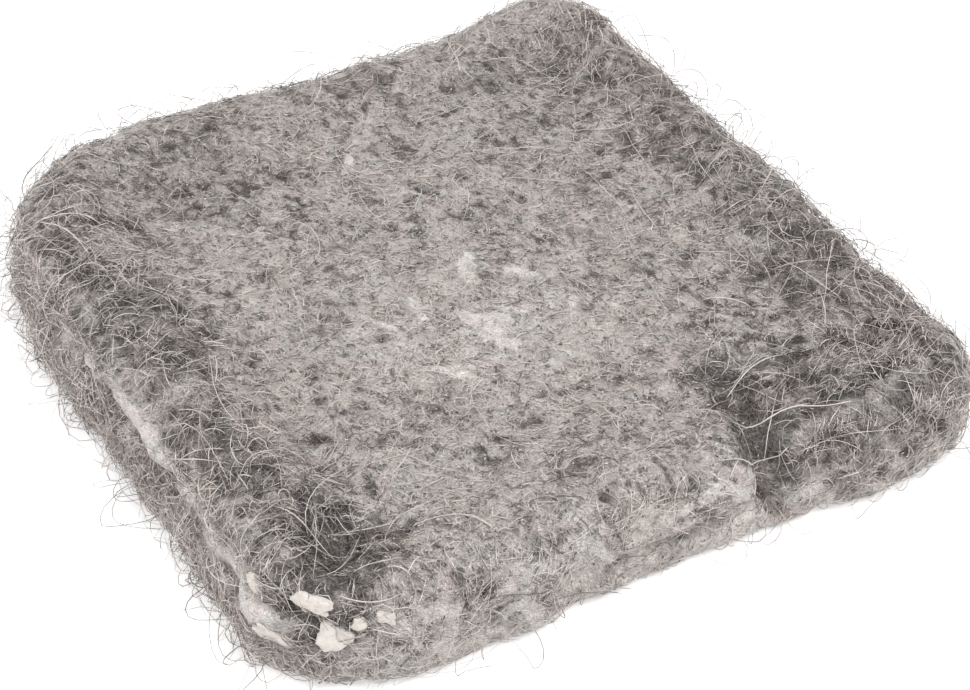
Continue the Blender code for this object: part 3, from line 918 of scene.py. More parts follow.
def gap_depth(spots):
    """Depth of the open gaps between loose strands, from 0 to 1."""
    coarse = fade(value_noise(spots, 0.0021, 61), 0.56, 0.86)
    fine = fade(value_noise(spots, 0.0011, 62), 0.48, 0.85)
    back = 1.0 - 0.6 * fade(-spots[..., 0], PAD_LENGTH / 2.0 - 0.0110, PAD_LENGTH / 2.0 - 0.0060)
    open_wool = (0.30 + 0.70 * looseness(spots)) * back * (1.0 - 0.7 * curl_share(spots))
    return open_wool * np.maximum(0.8 * coarse, 0.8 * fine) * (1.0 - 0.7 * soap_film(spots))


def body_relief(spots):
    """How far the body's surface stands off its mean depth under the skin."""
    relief = 0.00022 * (value_noise(spots, 0.0024, 71) - 0.5)
    relief = relief + 0.00030 * (value_noise(spots, 0.0009, 72) - 0.5)
    relief = relief + 0.00034 * (1.0 - top_share(spots)) * (value_noise(spots, 0.0016, 73) - 0.5)
    relief = relief + 0.00016 * soap_film(spots) + 0.00085 * soap_line(spots) + 0.00012 * soap_smears(spots)
    relief = relief + 0.00050 * end_ropes(spots) - 0.00080 * pit_depth(spots)
    return relief - 0.00055 * gap_depth(spots) - 0.00016 * pinholes(spots)


def square_rim(cells):
    """Grid corners around a square's rim, anticlockwise from its (1, 1) corner: rows and columns."""
    run = np.arange(cells)
    rows = np.concatenate([np.full(cells, cells), cells - run, np.zeros(cells, int), run])
    columns = np.concatenate([cells - run, np.zeros(cells, int), run, np.full(cells, cells)])
    return rows, columns


def rim_station(turn):
    """Distance around the outline for a turn of 0 to 4 around the square grid, corner to corner."""
    corners = [corner_station(number) for number in range(5)]
    return np.interp(turn, np.arange(5), corners)


def top_patch(cells):
    """Square grid drawn onto the top: each ring of cells follows the outline, shrunk."""
    line = np.linspace(-1.0, 1.0, cells + 1)
    across, along = np.meshgrid(line, line)
    share = np.maximum(np.abs(across), np.abs(along))
    safe = np.maximum(share, 1e-9)
    u = across / safe
    v = along / safe
    near = 1.0 - 1e-9
    turn = np.select(
        [v >= near, u <= -near, v <= -near],
        [0.5 * (1.0 - u), 1.0 + 0.5 * (1.0 - v), 2.0 + 0.5 * (1.0 + u)],
        3.0 + 0.5 * (1.0 + v),
    )
    station = rim_station(turn)
    inset = np.full(share.shape, UPPER_EDGE_RADIUS)
    return skin(station, inset, share, np.ones(share.shape)) - SHIFT


def wall_rows():
    """Insets and levels up the rounded edge, from the top down to the underside."""
    full = edge_height()
    upper = UPPER_EDGE_RADIUS * math.pi / 2.0
    lower = LOWER_EDGE_RADIUS * math.pi / 2.0
    wall = full - UPPER_EDGE_RADIUS - LOWER_EDGE_RADIUS
    run = np.linspace(0.0, upper + wall + lower, WALL_ROWS + 1)
    turn_up = np.clip(run / upper, 0.0, 1.0) * math.pi / 2.0
    turn_low = np.clip((run - upper - wall) / lower, 0.0, 1.0) * math.pi / 2.0
    inset = UPPER_EDGE_RADIUS * (1.0 - np.sin(turn_up)) + LOWER_EDGE_RADIUS * (1.0 - np.cos(turn_low))
    drop = UPPER_EDGE_RADIUS * (1.0 - np.cos(turn_up)) + np.clip(run - upper, 0.0, wall)
    drop = drop + LOWER_EDGE_RADIUS * np.sin(turn_low)
    return inset, 1.0 - drop / full


def disc_map(reach, bearing):
    """Places on the body's map for points of the underside: distance from its middle, bearing."""
    return np.stack([MAP_DISC[0] + reach * np.cos(bearing), MAP_DISC[1] + reach * np.sin(bearing)], axis=-1)


def cell_corners(grid):
    """The four corners of each cell of a grid, anticlockwise, in the grid's third place."""
    return np.stack([grid[:-1, :-1], grid[:-1, 1:], grid[1:, 1:], grid[1:, :-1]], axis=2)


def body_grid():
    """Points and faces of the body: a square patch on top, rows down the wall, rings below.

    Each face also gets its corners on the body's own map: the patch fills a square, the
    four sides lie in bands above it, and the underside fills a disc beside it.
    """
    cells = TOP_CELLS
    count = 4 * cells
    run = np.arange(count)
    station = rim_station(run / cells)
    insets, levels = wall_rows()
    rows = [skin_row(station, inset, 1.0, level) for inset, level in zip(insets[1:], levels[1:])]
    shares = 1.0 - (np.arange(1, UNDERSIDE_ROWS) / UNDERSIDE_ROWS)
    rows += [skin_row(station, LOWER_EDGE_RADIUS, share, 0.0) for share in shares]
    points = np.concatenate([top_patch(cells).reshape(-1, 3)] + rows + [np.zeros((1, 3))])
    grid = np.arange((cells + 1) ** 2).reshape(cells + 1, cells + 1)
    line = np.linspace(MAP_EDGE, MAP_EDGE + MAP_SIDE, cells + 1)
    faces = [cell_corners(grid).reshape(-1, 4)]
    maps = [cell_corners(np.stack(np.meshgrid(line, line), axis=-1)).reshape(-1, 4, 2)]
    loop = grid[square_rim(cells)]
    start = MAP_EDGE + MAP_SIDE * (run % cells) / cells
    end = start + MAP_SIDE / cells
    band = MAP_BAND + MAP_BAND_PITCH * (run // cells)
    angle = 2.0 * math.pi * run / count
    later = 2.0 * math.pi * (run + 1) / count
    for row in range(WALL_ROWS + UNDERSIDE_ROWS - 1):
        lower = (cells + 1) ** 2 + row * count + run
        faces.append(np.stack([loop, lower, np.roll(lower, -1), np.roll(loop, -1)], axis=-1))
        if row < WALL_ROWS:
            high = band + MAP_BAND_HEIGHT * (1.0 - row / WALL_ROWS)
            low = band + MAP_BAND_HEIGHT * (1.0 - (row + 1) / WALL_ROWS)
            pairs = ((start, high), (start, low), (end, low), (end, high))
            corners = [np.stack(pair, axis=-1) for pair in pairs]
        else:
            outer = MAP_DISC_REACH * (1.0 - (row - WALL_ROWS) / UNDERSIDE_ROWS)
            inner = MAP_DISC_REACH * (1.0 - (row - WALL_ROWS + 1) / UNDERSIDE_ROWS)
            pairs = ((outer, angle), (inner, angle), (inner, later), (outer, later))
            corners = [disc_map(*pair) for pair in pairs]
        maps.append(np.stack(corners, axis=1))
        loop = lower
    fan = np.stack([loop, np.full(count, len(points) - 1), np.roll(loop, -1)], axis=-1)
    reach = MAP_DISC_REACH / UNDERSIDE_ROWS
    fan_map = np.stack([disc_map(reach, angle), disc_map(0.0, angle), disc_map(reach, later)], axis=1)
    return points, np.concatenate(faces), fan, np.concatenate(maps), fan_map


def add_mesh(name, points, quads, triangles, quad_map, triangle_map, material, map_names):
    """Put points, faces and their maps into a smooth-shaded mesh object at the origin."""
    mesh = bpy.data.meshes.new(name)
    corners = np.concatenate([quads.ravel(), triangles.ravel()]).astype(np.int32)
    counts = np.concatenate([np.full(len(quads), 4), np.full(len(triangles), 3)])
    starts = np.concatenate([[0], np.cumsum(counts)[:-1]]).astype(np.int32)
    mesh.vertices.add(len(points))
    mesh.vertices.foreach_set("co", points.astype(np.float32).ravel())
    mesh.loops.add(len(corners))
    mesh.loops.foreach_set("vertex_index", corners)
    mesh.polygons.add(len(counts))
    mesh.polygons.foreach_set("loop_start", starts)
    mesh.polygons.foreach_set("use_smooth", np.ones(len(counts), bool))
    places = np.concatenate([quad_map.reshape(-1, 2), triangle_map.reshape(-1, 2)]).astype(np.float32)
    for map_name in map_names:
        layer = mesh.uv_layers.new(name=map_name)
        layer.uv.foreach_set("vector", places.ravel())
    mesh.update(calc_edges=True)
    mesh.validate()
    mesh.materials.append(material)
    item = bpy.data.objects.new(name, mesh)
    bpy.context.scene.collection.objects.link(item)
    return item


def add_values(item, name, values):
    """Keep one number for each of a piece's points."""
    layer = item.data.attributes.new(name, "FLOAT", "POINT")
    layer.data.foreach_set("value", np.asarray(values, np.float32))


def scattered_starts(rng, density, count):
    """Starting spots on the skin, more where the density is higher, and the normals there."""
    patch = top_patch(SCATTER_CELLS).reshape(-1, 3)
    station = rim_station(np.linspace(0.0, 4.0, SCATTER_TURNS, endpoint=False))
    shares = np.linspace(0.02, 1.0, SCATTER_RINGS)
    wall = [skin_row(station, 0.0, 1.0, level) for level in np.linspace(0.06, 0.97, SCATTER_ROWS)]
    low = [skin_row(station, LOWER_EDGE_RADIUS, share, 0.0) for share in shares]
    spots = np.concatenate([patch] + wall + low)
    walls = SCATTER_ROWS * SCATTER_TURNS
    ring_areas = shares * 2.0 * PAD_LENGTH * PAD_WIDTH / SCATTER_RINGS
    areas = (
        np.full(len(patch), (PAD_LENGTH * PAD_WIDTH) / (SCATTER_CELLS + 1) ** 2),
        np.full(walls, GIRTH * edge_height() / walls),
        np.repeat(ring_areas, SCATTER_TURNS) / SCATTER_TURNS,
    )
    weights = np.concatenate(areas) * density(spots)
    picked = rng.choice(len(spots), size=count, p=weights / weights.sum())
    starts = spots[picked] + rng.normal(0.0, SCATTER_SPREAD, (count, 3))
    return settle(starts, np.zeros(count))


def strand_plan(seed, count, density, heading, size, shares, bend):
    """Strands before they are laid: their random numbers, starts, headings, lengths and bends.

    The density says where they lie, and the heading is worked out from their starts.
    """
    rng = np.random.default_rng(SEED + seed)
    starts, normals = scattered_starts(rng, density, count)
    headings = heading(starts, normals, rng)
    length = size * rng.uniform(*shares, count)
    return rng, starts, headings, length, rng.normal(0.0, bend, count)


def lay_strands(rng, starts, headings, length, bend, wander, offsets):
    """Walk strands over the skin, all at once, one step at a time.

    Each step turns the heading about the skin's normal by the strand's own bend plus a
    random turn, moves along it, and settles at the wished offset from the skin.
    """
    steps = offsets.shape[1] - 1
    step = (length / steps)[:, None]
    spots, normals = settle(starts, offsets[:, 0], rounds=3)
    path = [spots]
    ways = [normals]
    turning = np.zeros(len(starts))
    for number in range(1, steps + 1):
        headings = unit(headings - normals * (headings * normals).sum(axis=-1, keepdims=True))
        turning = 0.6 * turning + wander * rng.standard_normal(len(starts))
        turn = (bend + turning)[:, None]
        headings = headings * np.cos(turn) + np.cross(normals, headings) * np.sin(turn)
        spots, normals = settle(spots + headings * step, offsets[:, number], rounds=2)
        path.append(spots)
        ways.append(normals)
    return np.stack(path, axis=1), np.stack(ways, axis=1)


def strand_piece(name, rng, paths, ways, tones, width, shares, named=None):
    """Closed three-sided tubes along paths, pointed at both ends.

    A tube's ring at each inner point of its path has three corners around it, in the
    plane of the skin's normal and the sideways direction. On the map a strand is a short
    upright band: across lies its tone, and up lies its tint plus a little of its length.
    Strands are as wide as a random share of the width, and named ones a fixed share.
    """
    tints = strand_tints(rng, paths[:, 0])
    widths = width * rng.uniform(*shares, len(paths))
    if named is not None:
        widths[named:] = 1.3 * width
    tones = tones + 0.0 * paths[..., 0]
    count, places = paths.shape[:2]
    floor = 0.5 * widths[:, None]
    paths = paths.copy()
    paths[..., 2] = np.maximum(paths[..., 2], floor)
    ahead = unit(np.gradient(paths, axis=1))
    side = unit(np.cross(ways, ahead))
    upright = np.cross(ahead, side)
    rings = places - 2
    share = np.arange(1, places - 1) / (places - 1)
    slim = 0.60 + 0.40 * np.sin(math.pi * share)
    uneven = rng.uniform(0.7, 1.3, (count, rings))
    radius = 0.5 * widths[:, None] * slim[None, :] * uneven
    twist = rng.uniform(0.0, 2.0 * math.pi, count)[:, None]
    corners = []
    for corner in range(3):
        angle = twist + 2.0 * math.pi * corner / 3.0
        out = side[:, 1:-1] * np.cos(angle)[..., None] + upright[:, 1:-1] * np.sin(angle)[..., None]
        corners.append(paths[:, 1:-1] + out * radius[..., None])
    ring_points = np.stack(corners, axis=2).reshape(count, rings * 3, 3)
    points = np.concatenate([paths[:, :1], ring_points, paths[:, -1:]], axis=1)
    points[..., 2] = np.maximum(points[..., 2], STRAND_LOWEST)
    per = rings * 3 + 2
    ring = np.arange(rings - 1)[:, None]
    corner = np.arange(3)[None, :]
    here = 1 + ring * 3 + corner
    here_next = 1 + ring * 3 + (corner + 1) % 3
    quads = np.stack([here, here_next, here_next + 3, here + 3], axis=-1).reshape(-1, 4)
    first = np.arange(3)
    tip = per - 1
    last = 1 + (rings - 1) * 3
    start_fan = np.stack([np.zeros(3, int), 1 + (first + 1) % 3, 1 + first], axis=-1)
    end_fan = np.stack([last + first, last + (first + 1) % 3, np.full(3, tip)], axis=-1)
    triangles = np.concatenate([start_fan, end_fan])
    across = np.array([-0.0030, 0.0000, 0.0030])
    tone_place = np.concatenate([[0.0], np.tile(across, rings), [0.0]])
    length_place = np.concatenate([[0.0], np.repeat(share, 3), [1.0]])
    point_tones = np.concatenate([tones[:, :1], np.repeat(tones[:, 1:-1], 3, axis=1), tones[:, -1:]], axis=1)
    place_u = 0.02 + 0.96 * point_tones + tone_place[None, :]
    place_v = 0.02 + 0.80 * tints[:, None] + 0.16 * length_place[None, :]
    place = np.stack([place_u, place_v], axis=-1)
    base = (np.arange(count) * per)[:, None, None]
    item = add_mesh(
        name,
        points.reshape(-1, 3),
        (quads[None] + base).reshape(-1, 4),
        (triangles[None] + base).reshape(-1, 3),
        place[:, quads].reshape(-1, 4, 2),
        place[:, triangles].reshape(-1, 3, 2),
        strand_finish(),
        ("strand", "OFBake"),
    )
    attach(item, "root")


def combed_heading(spots, normals, rng, spread, patch=0.0045):
    """Headings that agree within patches a few millimetres wide, with a random spread."""
    one = value_noise(spots, patch, 81) - 0.5
    two = value_noise(spots, patch, 82) - 0.5
    angle = np.arctan2(one, two) + rng.normal(0.0, 1.0, len(spots)) * spread
    across = unit(np.cross(normals, np.array([0.31, 0.22, 0.92])) + 1e-6)
    along = np.cross(normals, across)
    return across * np.cos(angle)[:, None] + along * np.sin(angle)[:, None]


def drawn_heading(spots, headings):
    """Headings turned towards the way the wool was drawn: across the lobe, along the fold edge."""
    lobe = (shade_and_rust(spots) * 1.7)[:, None] * np.array([-0.55, 0.84, 0.0])
    y = spots[:, 1] + SHIFT[1]
    face = fade(spots[:, 0], PAD_LENGTH / 2.0 - 0.0045, PAD_LENGTH / 2.0 - 0.0030)
    face = face * fade(y, GROOVE_Y, GROOVE_Y + 0.0010) * (1.0 - top_share(spots)) * 1.8
    lobe = lobe + face[:, None] * np.array([0.0, 0.50, 0.87])
    fold = 1.0 - fade(y, -PAD_WIDTH / 2.0 + 0.008, -PAD_WIDTH / 2.0 + 0.016)
    fold = fold[:, None] * np.array([0.93, 0.36, 0.0])
    return unit(headings + lobe + fold)


def edge_heading(spots, normals, rng, spread):
    """Headings along the pad's outline, either way round, with a random spread."""
    upward = np.array([0.0, 0.0, 1.0])
    outward = unit(spots * np.array([1.0 / PAD_LENGTH**2, 1.0 / PAD_WIDTH**2, 0.0]))
    around = unit(np.cross(upward, outward))
    around = around * np.where(rng.random(len(spots)) < 0.5, 1.0, -1.0)[:, None]
    along = unit(around - normals * (around * normals).sum(axis=-1, keepdims=True))
    across = np.cross(normals, along)
    angle = (spread * rng.normal(0.0, 1.0, len(spots)))[:, None]
    return along * np.cos(angle) + across * np.sin(angle)


def open_share(spots):
    """1 where the wool is loose or off the top face, 0 where it is matted."""
    return np.maximum(looseness(spots), 1.0 - top_share(spots))


def clear_of_pits(paths):
    """Which strands leave the small holes and the pale line open."""
    middle = paths[:, 1:-1]
    return ((pit_depth(middle) < 0.45) & (soap_line(middle) < 0.55)).all(axis=1)


def strand_tones(rng, paths, spread, shift=0.0):
    """Tone at each point of each strand from 0, dark, to 1, coated with soap, with painted shade and painted
    light worked into it.
    """
    own = spread * rng.standard_normal((len(paths), 1)) + shift
    cloudy = 0.6 * value_noise(paths, 0.0015, 55) + 0.4 * value_noise(paths, 0.0034, 56) - 0.5
    fine = value_noise(paths, 0.0007, 60) - 0.5
    film = soap_film(paths)
    # Painted highlights on the end ropes and painted shade between them.
    patchy = (0.86 * cloudy + 1.16 * fine) * (1.0 - 0.5 * looseness(paths)) + 0.8 * end_ropes(paths)
    # Painted light on the walls, and painted shade and light from the slow patches.
    tone = 0.475 + 0.30 * soapiness(paths) + 0.26 * painted_wall_light(paths) + patchy + light_and_shade_patches(paths)
    # Painted shade in the creases, and painted light on the thin curled tip.
    tone = tone - 0.25 * crease_share(paths) + 0.32 * curl_share(paths)
    tone = tone + 0.34 * end_band(paths) * (film - 0.22)
    # Painted shade on the loose wool, and on the lobe and the roll side.
    tone = tone + 0.26 * soap_smears(paths) - 0.04 * looseness(paths) - 0.10 * shade_and_rust(paths)
    # Painted shade in the pinholes.
    return np.clip(tone + own - 0.72 * pinholes(paths), *TONES)


def strand_tints(rng, starts):
    """Tint of each strand from 0, clean, to 1, rusty: slow noise, more on the lobe and the roll side."""
    slow = 1.3 * (value_noise(starts, 0.0042, 101) - 0.5) + 0.7 * (value_noise(starts, 0.0013, 102) - 0.5)
    tint = 0.42 + slow + 0.22 * shade_and_rust(starts) + 0.14 * rng.standard_normal(len(starts))
    return np.clip(tint, 0.0, 1.0)


def sunk_offsets(rng, count, steps, low, high, ends):
    """Offsets from the skin along strands: a random level between, sunk ends."""
    share = np.linspace(0.0, 1.0, steps + 1)[None, :]
    level = rng.uniform(low, high, (count, 1))
    turns = share * rng.uniform(0.5, 1.5, (count, 1)) + rng.random((count, 1))
    wave = 0.00008 * np.sin(2.0 * math.pi * turns)
    arch = np.clip(np.sin(math.pi * share), 0.0, 1.0) ** 0.4
    return ends + (level - ends) * arch + wave


def named_paths(steps):
    """Paths and normals of the named strands: lines bowed sideways, laid over the skin."""
    ends = np.array(NAMED_STRANDS)
    share = np.linspace(0.0, 1.0, steps + 1)[None, :, None]
    start = ends[:, None, 0:2]
    way = ends[:, None, 2:4] - start
    aside = np.stack([-way[..., 1], way[..., 0]], axis=-1) / np.linalg.norm(way, axis=-1, keepdims=True)
    wave = 4.0 * share * (1.0 - share)
    plan = start + way * share + aside * ends[:, None, 4:5] * wave
    height = pad_height(plan[..., 0] + SHIFT[0], plan[..., 1] + SHIFT[1])
    spots = np.concatenate([plan, height[..., None]], axis=-1)
    offset = -0.00010 + 0.00050 * np.clip(wave[..., 0], 0.0, 1.0) ** 0.5 + np.zeros(height.shape)
    return settle(spots, offset, rounds=3)


def new_group(name, inputs, outputs):
    """An empty shader node group with named sockets, each of a kind and with a default or None."""
    group = bpy.data.node_groups.new(name, "ShaderNodeTree")
    for label, (kind, value) in inputs.items():
        socket = group.interface.new_socket(name=label, in_out="INPUT", socket_type="NodeSocket" + kind)
        if value is not None:
            socket.default_value = value
    for label, kind in outputs.items():
        group.interface.new_socket(name=label, in_out="OUTPUT", socket_type="NodeSocket" + kind)
    return group, group.nodes.new("NodeGroupInput"), group.nodes.new("NodeGroupOutput")


def set_inputs(tree, node, inputs):
    """Set or link a node's inputs, each a number or another node's output."""
    for key, value in inputs.items():
        if isinstance(value, bpy.types.NodeSocket):
            tree.links.new(value, node.inputs[key])
        else:
            node.inputs[key].default_value = value
    return node


def add_node(tree, kind, inputs=None, **settings):
    """A shader node with its settings and its inputs."""
    node = tree.nodes.new(kind)
    for key, value in settings.items():
        setattr(node, key, value)
    return set_inputs(tree, node, inputs or {})


def math_node(tree, operation, *values):
    """Output of a Math node over the given numbers or outputs."""
    return add_node(tree, "ShaderNodeMath", dict(enumerate(values)), operation=operation).outputs[0]


def vector_node(tree, operation, inputs):
    """Output of a Vector Math node."""
    return add_node(tree, "ShaderNodeVectorMath", inputs, operation=operation).outputs[0]


def mapped(tree, value, low, high, to_low=0.0, to_high=1.0):
    """Output of a smooth Map Range node."""
    inputs = {0: value, 1: low, 2: high, 3: to_low, 4: to_high}
    return add_node(tree, "ShaderNodeMapRange", inputs, interpolation_type="SMOOTHSTEP").outputs[0]


def opaque(colour):
    """A colour with its fourth number, or a node's output as it is."""
    return colour if isinstance(colour, bpy.types.NodeSocket) else tuple(colour)[:3] + (1.0,)


def mixed_colour(tree, factor, first, second, blend="MIX"):
    """Colour output of a Mix node."""
    inputs = {0: factor, 6: opaque(first), 7: opaque(second)}
    return add_node(tree, "ShaderNodeMix", inputs, data_type="RGBA", blend_type=blend).outputs[2]


def make_felted_fibres():
    """Group: short curved fibres that cross in five directions, from stretched noise."""
    group, source, result = new_group(
        "Felted fibres",
        {"Vector": ("Vector", None), "Grow": ("Float", 1.0), "Cover": ("Float", 0.54)},
        {"Fibres": "Float", "Height": "Float"},
    )
    place = source.outputs["Vector"]
    bend = add_node(group, "ShaderNodeTexNoise", {"Vector": place, "Scale": 420.0, "Detail": 1.0})
    centred = vector_node(group, "SUBTRACT", {0: bend.outputs["Color"], 1: (0.5, 0.5, 0.5)})
    pushed = vector_node(group, "MULTIPLY", {0: centred, 1: (0.0016, 0.0016, 0.0016)})
    curved = vector_node(group, "ADD", {0: place, 1: pushed})
    scaled = vector_node(group, "SCALE", {0: curved, 3: source.outputs["Grow"]})
    full = math_node(group, "ADD", source.outputs["Cover"], 0.12)
    total = None
    turns = ((0.0, 0.0, 0.4), (0.2, 0.1, 1.5), (0.0, -0.2, 2.6), (0.0, 0.95, 0.9), (0.3, -0.85, 2.1))
    for layer, turn in enumerate(turns):
        inputs = {
            "Vector": scaled,
            "Location": (0.011 * layer, 0.023 * layer, 0.007 * layer),
            "Rotation": turn,
            "Scale": (0.0026, 0.00021, 0.00021),
        }
        laid = add_node(group, "ShaderNodeMapping", inputs, vector_type="TEXTURE")
        inputs = {"Vector": laid.outputs[0], "Scale": 1.0, "Detail": 0.5}
        noise = add_node(group, "ShaderNodeTexNoise", inputs)
        line = mapped(group, noise.outputs[0], source.outputs["Cover"], full)
        line = math_node(group, "MULTIPLY", line, 1.0 - 0.12 * layer)
        total = line if total is None else math_node(group, "MAXIMUM", total, line)
    fine = add_node(group, "ShaderNodeTexNoise", {"Vector": place, "Scale": 3200.0, "Detail": 1.0})
    height = math_node(group, "ADD", total, math_node(group, "MULTIPLY", fine.outputs[0], 0.4))
    set_inputs(group, result, {"Fibres": total, "Height": height})
    return group


def make_wool_tint():
    """Group: a colour multiplied by a blend of the cool and the warm tint."""
    group, source, result = new_group(
        "Wool tint",
        {"Colour": ("Color", None), "Rust": ("Float", 0.5), "Cool": ("Color", None), "Warm": ("Color", None)},
        {"Colour": "Color"},
    )
    tint = mixed_colour(group, source.outputs["Rust"], source.outputs["Cool"], source.outputs["Warm"])
    final = mixed_colour(group, 1.0, source.outputs["Colour"], tint, blend="MULTIPLY")
    set_inputs(group, result, {"Colour": final})
    return group


def make_mottle():
    """Group: slow and fine noise mixed to one value around 0.5."""
    group, source, result = new_group(
        "Mottle",
        {"Vector": ("Vector", None), "Coarse": ("Float", 180.0), "Fine": ("Float", 900.0)},
        {"Value": "Float"},
    )
    coarse, fine = (
        add_node(
            group,
            "ShaderNodeTexNoise",
            {"Vector": source.outputs["Vector"], "Scale": source.outputs[scale], "Detail": 2.0},
        ).outputs[0]
        for scale in ("Coarse", "Fine")
    )
    both = math_node(group, "MULTIPLY", math_node(group, "ADD", coarse, fine), 0.5)
    set_inputs(group, result, {"Value": both})
    return group


def shared_group(name, maker):
    """A node group that is built once."""
    return bpy.data.node_groups.get(name) or maker()


def new_material(name):
    """A material with only its shader: the material, its tree and its shader."""
    material = bpy.data.materials.new(name)
    material.use_nodes = True
    tree = material.node_tree
    return material, tree, tree.nodes["Principled BSDF"]


def fill_group(tree, group, inputs):
    """A placed group with its inputs set or linked."""
    return add_node(tree, "ShaderNodeGroup", inputs, node_tree=group)


def tinted(tree, colour, rust, colours):
    """Colour of the wool after its tint, by the shared group."""
    group = shared_group("Wool tint", make_wool_tint)
    tints = {"Cool": opaque(colours.cool_tint), "Warm": opaque(colours.warm_tint)}
    return fill_group(tree, group, {"Colour": colour, "Rust": rust, **tints}).outputs["Colour"]


def mottled(tree, place, coarse, fine):
    """Value of the shared mottle at two finenesses."""
    group = shared_group("Mottle", make_mottle)
    return fill_group(tree, group, {"Vector": place, "Coarse": coarse, "Fine": fine}).outputs[0]


def bumped(tree, height, strength, distance):
    """Normal raised by a height."""
    inputs = {"Strength": strength, "Distance": distance, "Height": height}
    return add_node(tree, "ShaderNodeBump", inputs).outputs[0]


def toned(colour, tones):
    """A colour multiplied by one tone, or by one for each of its parts."""
    return tuple(np.array(colour) * tones)


def body_material(colours):
    """Matted wool: crossing fibres over a shaded ground, paler and duller where it holds soap, with painted
    shade in its holes and gaps.
    """
    material, tree, shader = new_material("matted_steel_wool")
    place = add_node(tree, "ShaderNodeTexCoord").outputs["Object"]
    soap = add_node(tree, "ShaderNodeAttribute", attribute_name="soap").outputs["Fac"]
    # This attribute holds the painted shade of holes and gaps.
    deep = add_node(tree, "ShaderNodeAttribute", attribute_name="painted_shade").outputs["Fac"]
    felt = shared_group("Felted fibres", make_felted_fibres)
    lines = fill_group(tree, felt, {"Vector": place, "Grow": 1.0, "Cover": 0.53})
    thin = fill_group(tree, felt, {"Vector": place, "Grow": 1.8, "Cover": 0.55})
    mottle = mottled(tree, place, 1300.0, 4200.0)
    cloud = mottled(tree, place, 520.0, 2300.0)
    slow = mottled(tree, place, 230.0, 700.0)

    # Clean wool: fibres over a ground between dark and bright steel
    bright = mapped(tree, mottle, 0.40, 0.60, 0.05, 0.85)
    ground = mixed_colour(tree, bright, colours.dark_steel, colours.steel)
    thin_lines = math_node(tree, "MULTIPLY", thin.outputs["Fibres"], 0.8)
    both = math_node(tree, "MAXIMUM", lines.outputs["Fibres"], thin_lines)
    wool = mixed_colour(tree, both, ground, toned(colours.steel, 0.96))

    # Soap: a thin film with fibres showing in it, and thick soap with torn edges
    soaped = mixed_colour(tree, mapped(tree, cloud, 0.40, 0.58), toned(colours.soap, 0.62), colours.soap)
    soaped = mixed_colour(tree, math_node(tree, "MULTIPLY", both, 0.22), soaped, colours.steel)
    torn = math_node(tree, "MULTIPLY", math_node(tree, "SUBTRACT", cloud, 0.5), 1.3)
    ragged = math_node(tree, "ADD", soap, torn)
    film = mapped(tree, ragged, 0.20, 0.78)
    thick = mapped(tree, ragged, 0.56, 0.94)
    pale = mixed_colour(tree, thick, mixed_colour(tree, film, wool, soaped), toned(colours.soap, 1.12))

    # Painted shade in holes and gaps, with dim fibres in them
    specks = mapped(tree, mottle, 0.430, 0.370)
    specks = math_node(tree, "MULTIPLY", specks, mapped(tree, thick, 0.0, 1.0, 0.7, 0.25))
    holes = math_node(tree, "MAXIMUM", mapped(tree, deep, 0.15, 0.95), specks)
    gap_shade_colour = mixed_colour(tree, both, toned(colours.dark_steel, 0.50), toned(colours.steel, 0.42))
    holed = mixed_colour(tree, holes, pale, gap_shade_colour)

    rough = math_node(tree, "ADD", film, math_node(tree, "MULTIPLY", mottle, 0.3))
    height = math_node(tree, "MULTIPLY", holes, -2.0)
    for part, share in (
        (lines.outputs["Height"], 1.0),
        (thin.outputs["Height"], 0.6),
        (cloud, 2.6),
        (mottle, 1.4),
    ):
        height = math_node(tree, "ADD", height, math_node(tree, "MULTIPLY", part, share))
    inputs = {
        "Base Color": tinted(tree, holed, mapped(tree, slow, 0.42, 0.60), colours),
        "Metallic": mapped(tree, film, 0.0, 1.0, 0.5, 0.0),
        "Roughness": mapped(tree, rough, 0.0, 1.2, 0.5, 0.85),
        "Normal": bumped(tree, height, 1.0, 0.00015),
    }
    set_inputs(tree, shader, inputs)
    return material


def strand_material(colours):
    """Drawn steel strand: its tone lies across its map, its tint and fine specks lie up it."""
    material, tree, shader = new_material("steel_strands")
    place = add_node(tree, "ShaderNodeUVMap", uv_map="strand").outputs[0]
    parts = add_node(tree, "ShaderNodeSeparateXYZ", {0: place})
    speck = add_node(tree, "ShaderNodeTexNoise", {"Vector": place, "Scale": 42.0, "Detail": 2.0}).outputs[0]
    varied = math_node(tree, "MULTIPLY", math_node(tree, "SUBTRACT", speck, 0.5), 0.30)
    shifted = math_node(tree, "ADD", parts.outputs["X"], varied)
    ramp = add_node(tree, "ShaderNodeValToRGB", {0: shifted})
    ramp.color_ramp.elements.new(0.5)
    for stop, colour in zip(ramp.color_ramp.elements, (colours.dark_steel, colours.steel, colours.soap)):
        stop.color = opaque(colour)
    rust = mapped(tree, parts.outputs["Y"], 0.12, 0.88)
    inputs = {
        "Base Color": tinted(tree, ramp.outputs[0], rust, colours),
        "Metallic": mapped(tree, shifted, 0.45, 0.95, 0.85, 0.15),
        "Roughness": mapped(tree, shifted, 0.2, 0.95, 0.36, 0.62),
        "Normal": bumped(tree, speck, 0.15, 0.00001),
    }
    set_inputs(tree, shader, inputs)
    return material


def soap_material(colours):
    """Dried soap: off-white, chalky, with painted shade in its hollows."""
    material, tree, shader = new_material("dried_soap_finish")
    mottle = mottled(tree, add_node(tree, "ShaderNodeTexCoord").outputs["Object"], 700.0, 3000.0)
    light = toned(colours.soap, (0.94, 0.92, 0.89))
    # The darker colour is painted shade where the mottle's bump is low.
    dark = toned(colours.soap, (0.82, 0.79, 0.75))
    inputs = {
        "Base Color": mixed_colour(tree, mapped(tree, mottle, 0.36, 0.60), dark, light),
        "Roughness": mapped(tree, mottle, 0.3, 0.7, 0.62, 0.8),
        "Normal": bumped(tree, mottle, 0.6, 0.0001),
    }
    set_inputs(tree, shader, inputs)
    return material


